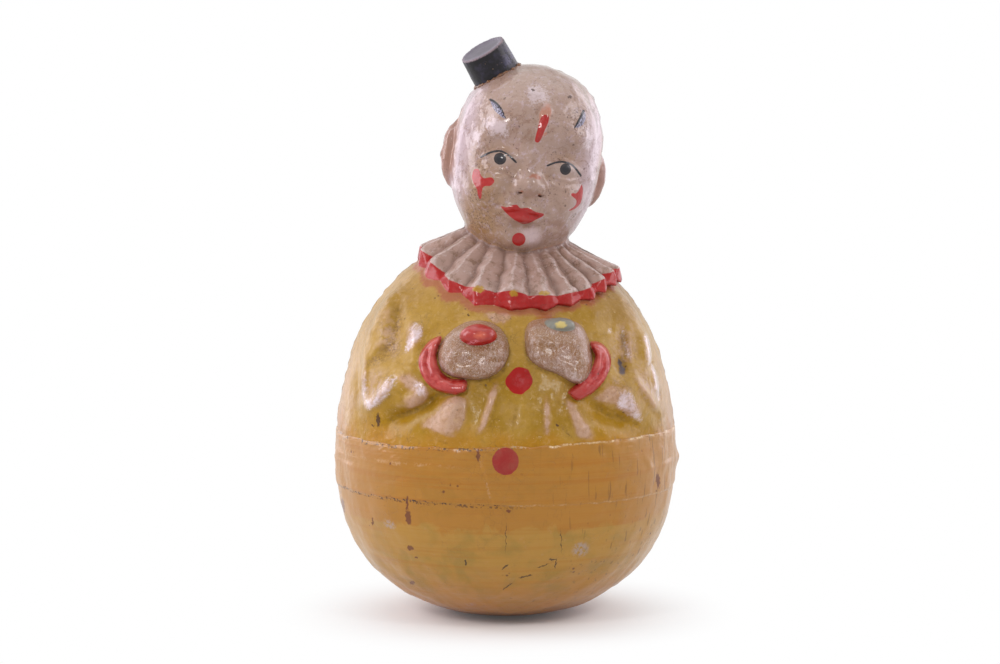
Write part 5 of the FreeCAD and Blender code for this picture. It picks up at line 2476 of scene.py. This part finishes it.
        # Painted highlight on the face, pale lavender, broken up by noise.
        pale = (patch - 0.5) * 7 + (mix.noise(1.2, 4.0, 0.75) - 0.5) * 12 - drawn("pale") - 0.3
        grime = blots(*self.dirt).rising(1.3, 0.5) * mix.noise(0.9, 3.0, 0.65).rising(0.52, 0.6)
        halo = (drawn("faded_drop") + (patch - 0.5) * 4).rising(0.4, -0.4)
        cuff = (drawn("on_cuff") + wobble * 0.6).rising(-0.1, 0.1)
        faded = cuff * mix.axis(2).rising(99.5, 103.5) * mix.noise(4.5, 4.0, 0.6).rising(0.38, 0.6)
        centre = (drawn("buttons") + patch * 4).rising(0.0, -2.0)
        centre = centre * mix.noise(2.0, 4.0, 0.7).rising(0.35, 0.65)
        gleam = blots(self.gleams[1]).rising(1.3, 0.4) * mix.noise(0.8, 3.0).rising(0.4, 0.55)
        leaf = mix.layers((150, 150, 176), ((52, 50, 74), mix.noise(0.8, 2.0).rising(0.42, 0.58)))
        lines = [(self.ink, (drawn(line) + wobble * 0.25).rising(0.12, -0.1))
                 for line in ("brow_lines", "lid_lines", "irises")]
        ring = (drawn("irises") + 1.0).rising(-0.1, 0.15) * drawn("irises").rising(-0.05, -0.2)
        return mix.layers(
            paint,
            (palm, (drawn("on_hand") + wobble).rising(-0.2, 0.1)),
            ((132, 132, 122), (drawn("on_knob") + wobble * 2 + 0.3).rising(-0.2, 0.3)),
            ((206, 186, 116), (drawn("knob_spot") + wobble * 2).rising(0.3, -0.3)),
            # Painted highlights on the face.
            ((222, 206, 212), pale.rising(-0.8, 2.4) * 0.6),
            ((98, 66, 44), grime * 0.7),
            ((64, 36, 28), blots(*self.spots).rising(1.15, 0.8) * 0.85),
            ((180, 142, 34), blots(*self.pleat_spots).rising(1.1, 0.7) * 0.8),
            ((212, 190, 192), blots(self.chin).rising(1.2, 0.3) * 0.65),
            # Painted shade in the crease behind the right cuff.
            ((92, 90, 104), blots(*self.crease_shade).rising(1.2, 0.7) * 0.85),
            ((160, 84, 48), (drawn("nostrils") + wobble * 1.4).rising(0.5, -0.3) * 0.65),
            (mix.layers((190, 116, 84), ((188, 164, 160), patch.rising(0.4, 0.6))), halo * 0.6),
            (scarlet, self.reds(mix, wobble, cuff)),
            # Cuffs worn pink on their upper part; this is partly a painted pink highlight of the side light
            # on their outer slopes.
            ((206, 96, 88), faded * 0.6),
            ((176, 92, 96), centre * 0.4),
            # Painted highlights on the ball.
            ((232, 120, 90), blots(self.gleams[0]).rising(1.5, 0) * 0.7),
            ((226, 136, 146), gleam * 0.8),
            ((170, 148, 136), (drawn("whites") + wobble * 0.3).rising(0.1, -0.3) * 0.5),
            (leaf, (drawn("brows") + wobble * 0.6).rising(0.2, -0.2) * 0.9),
            *lines,
            ((60, 46, 42), ring * 0.3))

    def material(self, name: str, relief: bool) -> bpy.types.Material:
        """Mixes the finish.

        Args:
            name: name of the material.
            relief: whether the piece is the front, which holds face, hands and folds.

        Returns:
            The material.
        """
        mix = Mix(bpy.data.materials.new(name))
        wide, fine = mix.drawn("wide_hollow"), mix.drawn("fine_hollow")
        patch, grain = mix.noise(8.0, 5.0, 0.62, 0.5), mix.noise(1.3, 4.0, 0.68)
        wobble = (mix.noise(1.1, 3.0) - 0.5) * 0.5
        on_ruff, on_head, depth = (mix.drawn(name) for name in ("on_ruff", "on_head", "rim_depth"))
        scarlet = self.scarlet(mix, patch, grain, wide)
        smeared = (on_ruff + wobble * 3 + (patch - 0.5) * 3).rising(-2.7, -1.3)
        smeared = smeared * (depth + (patch - 0.5) * 3).rising(13.5, 11.0)
        rim = (mix.drawn("red_rim") + wobble).rising(-0.1, 0.25) * (on_ruff + 0.1 + wobble).rising(-0.1, 0.2)
        paint = mix.layers(
            self.cloth(mix, patch, grain, wide, fine, relief),
            ((160, 78, 66), smeared * 0.65),
            (self.collar(mix, patch, grain, wide, fine), (on_ruff + wobble).rising(-0.1, 0.2)),
            (scarlet, rim),
            (self.flesh(mix, patch, wide), (on_head + wobble).rising(-0.15, 0.15)))
        smooth = on_head.rising(-0.2, 0.2).over(on_ruff.rising(-0.2, 0.2) * 0.4)
        if relief:
            paint = self.pattern(mix, paint, scarlet, wobble, patch, self.palm(mix, patch, grain, fine))
            wet = mix.drawn("on_cuff").over(mix.drawn("on_ball")).rising(-0.2, 0.2) * 0.8
            palms = mix.drawn("on_hand").rising(-0.2, 0.2) * 0.3
            # The varnish is also glossier where the highlights are painted.
            smooth = smooth.over(mix.drawn("shine").rising(0.6, -0.2)).over(palms).over(wet)
        cracks, pits = self.age.cracks(mix), self.age.pits(mix, 2.3)
        marks = (cracks * 0.3, pits * 0.7, abs(mix.axis(1)).rising(0.5, 0.1) * 0.75)
        paint = mix.layers(paint, *((self.age.dirt, share) for share in marks))
        rough = 0.2 + patch * 0.12 + grain * 0.1 + fine.rising(0.02, 0.2) * 0.3
        height = grain * 0.55 + mix.noise(4.5, 3.0) * 1.4 + mix.noise(2.0, 3.0) * 0.5
        height = height - cracks * 0.3 - pits * 0.6
        return mix.finish(paint, rough, height, 0.18, coat=0.1 + smooth * 0.5, coat_rough=0.05, specular=0.18)


@dataclass(frozen=True)
class BandPaint:
    """Ochre paint of bowl and tape, brushed round the body, scratched, browner towards the foot, and painted
    paler towards the sides as a sheen.
    """

    age: Age = Age()
    ochre: Rgb = (178, 134, 54)
    amber: Rgb = (170, 108, 22)
    olive: Rgb = (160, 126, 50)
    brown: Rgb = (126, 68, 18)
    pale: Rgb = (190, 148, 100)
    red: Rgb = (152, 32, 26)
    brown_spots: Sequence[Blot] = (
        (-39.4, 54.5, 0.5, 3.4, 4), (-38.9, 48.6, 1.3, 3.2, -6), (-38.3, 35.4, 1.4, 1.1, 0),
        (-38, 18.8, 1, 1, 0), (-67.4, 46.4, 1, 4, 0), (1.1, 53.2, 0.9, 0.6, 0),
        (-46.2, 69.8, 0.5, 0.5, 0), (-36, 31.5, 0.5, 0.5, 0), (-53.9, 44.3, 0.4, 2, 0),
        (62, 60, 0.9, 3.4, -8), (-11, 75.4, 0.9, 2.6, 0))
    dark_lines: Sequence[Blot] = (
        (-0.3, 29.4, 1.8, 0.32, -40), (8, 25.1, 2.6, 0.32, -14), (15, 29.6, 2.2, 0.28, -20),
        (18.6, 32.2, 1.4, 0.3, 0), (19.8, 30.2, 0.3, 2.2, 8), (0.8, 20.6, 2.4, 0.34, -42),
        (-16, 31, 0.3, 1.2, 0), (0, 42, 0.12, 6, 2), (22, 40, 0.12, 5, -2))
    scuffs: Sequence[Blot] = (
        (-46.6, 44.7, 2.6, 1.8, 20), (29.8, 35.8, 3.4, 3, -20), (-14, 10.2, 2.4, 0.9, 0))
    button: Triple = (-0.1, 0.0, 73.1)

    def tape_marks(self, mix: Mix, patch: Term, grain: Term) -> list[tuple[Colour, Number]]:
        """Layers of the tape alone: worn edges, specks along them, a streak, the lapped end and a button.

        Args:
            mix: material in the making.
            patch: noise in large patches.
            grain: fine noise.

        Returns:
            Colour and share of each layer.
        """
        up, across, front = mix.axis(2), mix.axis(0), mix.axis(1).rising(-20.0, -30.0)
        low, high, lap = (mix.drawn(name) for name in ("above_edge", "below_edge", "lap_edge"))
        cloud = mix.noise(6.0, 3.0)
        broken = grain.rising(0.42, 0.6) * cloud.rising(0.4, 0.56)
        ridge = high.rising(1.5, 0.9) * high.rising(0.3, 0.6)
        specks = mix.noise(1.2, 2.0).rising(0.52, 0.6) * across.rising(16.0, -8.0)
        streak = abs(up + (cloud - 0.5) * 2.4 - 70.4).rising(1.1, 0.2) * across.rising(-14.0, -30.0)
        button = Term(mix.tree, mix.vector("DISTANCE", mix.stretched((1.0, 0.0, 1.0)), self.button))
        disc = (button + (grain - 0.5) * 0.5 + (patch - 0.5) * 1.2).rising(5.5, 5.2) * front
        return [
            ((222, 196, 150), ridge * broken * (0.45 + across.rising(-10, 10) * 0.5)),
            (self.age.dirt, high.rising(2.2, 1.2) * specks * cloud.rising(0.4, 0.5) * 0.85),
            ((58, 36, 24), low.rising(1.3, 1) * specks),
            ((204, 164, 112), low.rising(1.4, 0.9) * broken * across.rising(-4, 6) * 0.6),
            ((200, 160, 116), streak * broken * 0.6),
            (self.pale, lap.rising(0.9, 0.2) * broken * front * 0.7),
            (mix.layers(self.red, ((156, 66, 50), patch.rising(0.4, 0.7))), disc)]

    def material(self, name: str, tape: bool) -> bpy.types.Material:
        """Mixes the finish.

        Args:
            name: name of the material.
            tape: whether the piece is the tape, which has its edges and a button.

        Returns:
            The material.
        """
        mix = Mix(bpy.data.materials.new(name))
        up, across = mix.axis(2), mix.axis(0)
        patch, grain = mix.noise(12.0, 5.0, 0.6, 0.4), mix.noise(1.2, 4.0, 0.68)
        brush = mix.noise(9.0, 4.0, 0.6, place=mix.stretched((0.12, 0.12, 5.0)))
        tide = (up + (mix.noise(14.0, 4.0, 0.6, 1.0) - 0.5) * 18).rising(44.0, 46.5)
        bare = mix.blots(*self.scuffs).rising(1.3, 0.5) * grain.rising(0.4, 0.55)
        side_sheen = abs(across) + (patch - 0.5) * 16
        cracks, pits = self.age.cracks(mix), self.age.pits(mix, 2.6)
        scratches = mix.noise(4.0, 3.0, place=mix.stretched((2.4, 2.4, 0.16))).rising(0.6, 0.66)
        if tape:
            own = self.tape_marks(mix, patch, grain)
        else:
            specks = mix.noise(1.2, 2.0).rising(0.5, 0.58) * across.rising(16.0, -8.0)
            own = [((78, 50, 32), (up + across * 0.0125).rising(53.7, 54.2) * specks * 0.7)]
        paint = mix.layers(
            self.ochre,
            (self.olive, patch.rising(0.42, 0.68)),
            (self.amber, brush.rising(0.45, 0.7) * (0.8 if tape else 0.4)),
            (self.pale, mix.noise(5.0, 5.0, 0.7).rising(0.6, 0.76) * 0.35),
            (self.amber, tide * 0.55),
            ((168, 156, 158), bare * 0.6),
            # Painted sheen: paler towards the sides of bowl and tape.
            (self.pale, side_sheen.rising(40.0, 66.0) * 0.45),
            (self.brown, (up + (patch - 0.5) * 10).rising(12.0, 0.0) * 0.85),
            ((186, 112, 44), (up + (patch - 0.5) * 14).rising(30, 12) * 0.35),
            *own,
            (self.age.dirt, scratches * across.rising(5.0, 40.0) * 0.4),
            (self.age.dirt, cracks * 0.15),
            ((104, 52, 30), mix.blots(*self.brown_spots).rising(1.15, 0.75) * 0.85),
            ((48, 34, 26), mix.blots(*self.dark_lines).rising(1.3, 0.8) * 0.85),
            ((92, 46, 26), pits * 0.8))
        height = grain * 0.35 + brush * 0.8 + mix.noise(5.0, 3.0) * 0.8 - cracks * 0.3 - pits * 0.5
        rough = 0.22 + patch * 0.14 + grain * 0.08
        return mix.finish(paint, rough, height, 0.14, coat=0.2, coat_rough=0.08, specular=0.28)


@dataclass(frozen=True)
class HatPaint:
    """Blue-black paint on turned wood, with a painted grey sheen on top, rubbed grey at the edge, and a
    painted glint on one side.
    """

    black: Rgb = (20, 17, 22)
    # Grey of the top: a painted sheen where the light from above falls on it.
    rubbed: Rgb = (128, 121, 134)

    def material(self, name: str) -> bpy.types.Material:
        """Mixes the finish.

        Args:
            name: name of the material.

        Returns:
            The material.
        """
        mix = Mix(bpy.data.materials.new(name))
        along, out = mix.drawn("along"), mix.drawn("out")
        grain, cloud = mix.noise(1.0, 4.0, 0.7), mix.noise(4.0, 3.0)
        rings = mix.noise(2.4, 3.0, place=mix.stretched((0.6, 0.6, 2.2)))
        top = along.rising(12.3, 12.8)
        edge = along.rising(12.0, 12.7) * out.rising(8.6, 9.4) * grain.rising(0.3, 0.6)
        glint = mix.axis(0).rising(-2.0, 2.5) * along.rising(2.0, 5.0) * along.rising(12.0, 10.0)
        chips = mix.cells(1.6).rising(0.2, 0.12) * mix.noise(5.0).rising(0.6, 0.66)
        paint = mix.layers(
            self.black,
            ((58, 54, 74), cloud.rising(0.45, 0.7) * 0.6),
            # Painted sheen on the top.
            (self.rubbed, top * (0.55 + cloud * 0.4)),
            ((150, 128, 132), edge * 0.7),
            ((108, 84, 68), along.rising(1.6, 0) * grain.rising(0.4, 0.7) * 0.7),
            # Painted glint: a bluish highlight painted on the right side.
            ((98, 96, 128), glint * (grain * 0.6 + cloud * 0.5).rising(0.48, 0.62) * 0.7),
            ((130, 108, 92), chips * 0.7))
        rough = 0.3 + grain * 0.25 + top * 0.1
        return mix.finish(paint, rough, rings + grain * 0.5 - chips, 0.12, coat=0.15, specular=0.25)


@dataclass(frozen=True)
class PlainFinish:
    """Finish of one stuff in two colours, with its own grain and gloss."""

    slot: Finish
    light: Rgb
    dark: Rgb
    size: float
    stretch: Triple = (1.0, 1.0, 1.0)
    rough: float = 0.7
    depth: float = 0.15
    metal: float = 0.0
    specks: float = 0.0

    def material(self, name: str) -> bpy.types.Material:
        """Mixes the finish.

        Args:
            name: name of the material.

        Returns:
            The material.
        """
        mix = Mix(bpy.data.materials.new(name))
        place = mix.stretched(self.stretch)
        grain, cloud = mix.noise(self.size, 5.0, 0.65, 0.3, place), mix.noise(self.size * 6, 3.0)
        spots = mix.cells(self.size * 1.5, place=place).rising(0.25, 0.1)
        spots = spots * mix.noise(self.size * 4).rising(0.5, 0.6)
        paint = mix.layers(self.light, (self.dark, (grain * 0.7 + cloud * 0.5).rising(0.4, 0.8)),
                           (tuple(channel // 2 for channel in self.dark), spots * self.specks))
        rough = self.rough + (grain - 0.5) * 0.2
        return mix.finish(paint, rough, grain - spots * 0.5, self.depth, metal=self.metal)


SEAM_PAPER = PlainFinish(Finish.PAPER, (196, 182, 152), (164, 146, 112), 0.6, (1, 1, 0.3), 0.85, 0.08)
CARRIED = {
    "joint_liner": PlainFinish(Finish.CARD, (168, 142, 106), (132, 108, 76), 0.8, (0.3, 0.3, 2.0), 0.85, 0.1),
    "left_seam_strip": SEAM_PAPER,
    "right_seam_strip": SEAM_PAPER,
    "ballast_weight": PlainFinish(
        Finish.IRON, (92, 84, 80), (96, 58, 40), 2.0, (1, 1, 1), 0.6, 0.3, 0.7, 0.5),
    "plaster_bed": PlainFinish(
        Finish.PLASTER, (208, 202, 190), (178, 168, 150), 1.6, (1, 1, 1), 0.9, 0.25, 0.0, 0.5),
    "hat_peg": PlainFinish(Finish.PEG, (184, 146, 100), (146, 106, 66), 0.5, (4.0, 4.0, 0.3), 0.7, 0.06),
}
GLUE_FINISH = PlainFinish(Finish.GLUE, (138, 92, 54), (84, 52, 32), 0.9, rough=0.3, depth=0.12, specks=0.6)


@dataclass
class Studio:
    """Camera, lamps, floor and backdrop."""

    eye: Triple = (-0.0023, -1.2, 0.2315)
    aim: Triple = (-0.0023, 0.0, 0.1175)
    lens: float = 104.1
    middle: Triple = (0.0, 0.0, 0.12)

    def aimed(self, thing: Thing, place: Triple, target: Triple) -> None:
        """Puts a lamp or camera in place and turns it to a target.

        Args:
            thing: lamp or camera.
            place: where it stands.
            target: what it looks at.
        """
        thing.location = place
        thing.rotation_mode = "QUATERNION"
        thing.rotation_quaternion = (Vector(target) - Vector(place)).to_track_quat("-Z", "Y")
        bpy.context.scene.collection.objects.link(thing)

    def lamp(self, name: str, place: Triple, size: Point, power: float, tint: Triple) -> None:
        """Adds a soft rectangular lamp that points at the middle of the toy.

        Args:
            name: name of the lamp.
            place: its middle.
            size: its width and height.
            power: its power in watts.
            tint: its colour.
        """
        data = bpy.data.lights.new(name, "AREA")
        data.shape = "RECTANGLE"
        data.size, data.size_y = size
        data.energy = power
        data.color = tint
        self.aimed(bpy.data.objects.new(name, data), place, self.middle)

    def seen(self, mix: Mix) -> Term:
        """1 where the camera looks, also in a mirror or through glass.

        Args:
            mix: material in the making.

        Returns:
            The share of what is seen.
        """
        path = mix.node("ShaderNodeLightPath")
        straight, mirrored, through = (
            Term(mix.tree, path.outputs[f"Is {kind} Ray"]) for kind in ("Camera", "Glossy", "Transmission"))
        return straight.over(mirrored).over(through)

    def backdrop(self) -> None:
        """Floor that keeps the object's shadow, and a world that is white where the camera sees it."""
        bpy.ops.mesh.primitive_grid_add(x_subdivisions=8, y_subdivisions=8, size=12.0)
        floor = bpy.context.object
        floor.name = "floor"
        white = (1.0, 1.0, 1.0, 1.0)
        mix = Mix(bpy.data.materials.new("floor"))
        lit = mix.node("ShaderNodeBsdfDiffuse", Color=(0.86, 0.86, 0.87, 1.0))
        faint, full = (mix.node("ShaderNodeEmission", Color=white, Strength=power).outputs[0]
                       for power in (0.05, 1.0))
        near = mix.node("ShaderNodeAddShader", in0=lit.outputs[0], in1=faint).outputs[0]
        away = Term(mix.tree, mix.vector("LENGTH", mix.place)).rising(18.0, 100.0)
        far = mix.node("ShaderNodeMixShader", in0=away, in1=near, in2=full).outputs[0]
        mix.show(mix.node("ShaderNodeMixShader", in0=self.seen(mix), in1=lit.outputs[0], in2=far))
        floor.data.materials.append(mix.owner)
        world = bpy.data.worlds.new("backdrop")
        bpy.context.scene.world = world
        mix = Mix(world)
        dim, full = (mix.node("ShaderNodeBackground", Color=white, Strength=power).outputs[0]
                     for power in (0.22, 1.0))
        mix.show(mix.node("ShaderNodeMixShader", in0=self.seen(mix), in1=dim, in2=full), "World")

    def build(self) -> None:
        """Sets up the studio."""
        scene = bpy.context.scene
        scene.view_settings.view_transform = "Standard"
        data = bpy.data.cameras.new("camera")
        data.lens = self.lens
        data.sensor_width = 36.0
        data.clip_start, data.clip_end = 0.05, 30.0
        scene.camera = bpy.data.objects.new("camera", data)
        self.aimed(scene.camera, self.eye, self.aim)
        pink, plain = (1.0, 0.93, 1.0), (1.0, 0.97, 0.97)
        for side, front, back in ((-1, 7.0, 3.2), (1, 4.3, 3.0)):
            self.lamp("side_softbox", (side * 1.05, 0.0, 0.58), (0.5, 0.85), front, pink)
            self.lamp("rear_softbox", (side * 0.85, 0.85, 0.42), (0.6, 1.0), back, (0.97, 0.88, 1.0))
        self.lamp("left_softbox", (-0.75, -1.3, 0.95), (0.32, 0.32), 7.0, plain)
        self.lamp("right_softbox", (0.8, -1.2, 1.1), (0.3, 0.3), 5.5, plain)
        self.lamp("top_softbox", (0.0, 0.2, 1.4), (1.4, 1.0), 5.0, (1.0, 1.0, 1.0))
        self.backdrop()


def dress_solids() -> None:
    """Gives each solid that keeps its shape the finish of its own stuff."""
    for node, stuff in CARRIED.items():
        solid = bpy.data.objects[node]
        material = stuff.material(node + "_stuff")
        for slot in solid.material_slots:
            slot.material = material
        if not solid.material_slots:
            solid.data.materials.append(material)
        LOG.info("%s: dressed as %s", node, stuff.slot.value)


def main() -> None:
    """Sets up the studio, builds the pieces in order and dresses the solids that stay."""
    logging.basicConfig(level=logging.INFO)
    Studio().build()
    figure = Figure()
    front_steps, back_steps = (((0.8, 0.58), (1.1, 0.8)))
    PressedShell(figure, True, *front_steps).build()
    PressedShell(figure, False, *back_steps).build()
    bowl = Bowl(swell=figure.swell)
    bowl.build()
    Belt(bowl, figure.torso).build()
    hat = Hat(figure)
    hat.build()
    hat.build_glue()
    dress_solids()


if __name__ == "__main__":
    main()
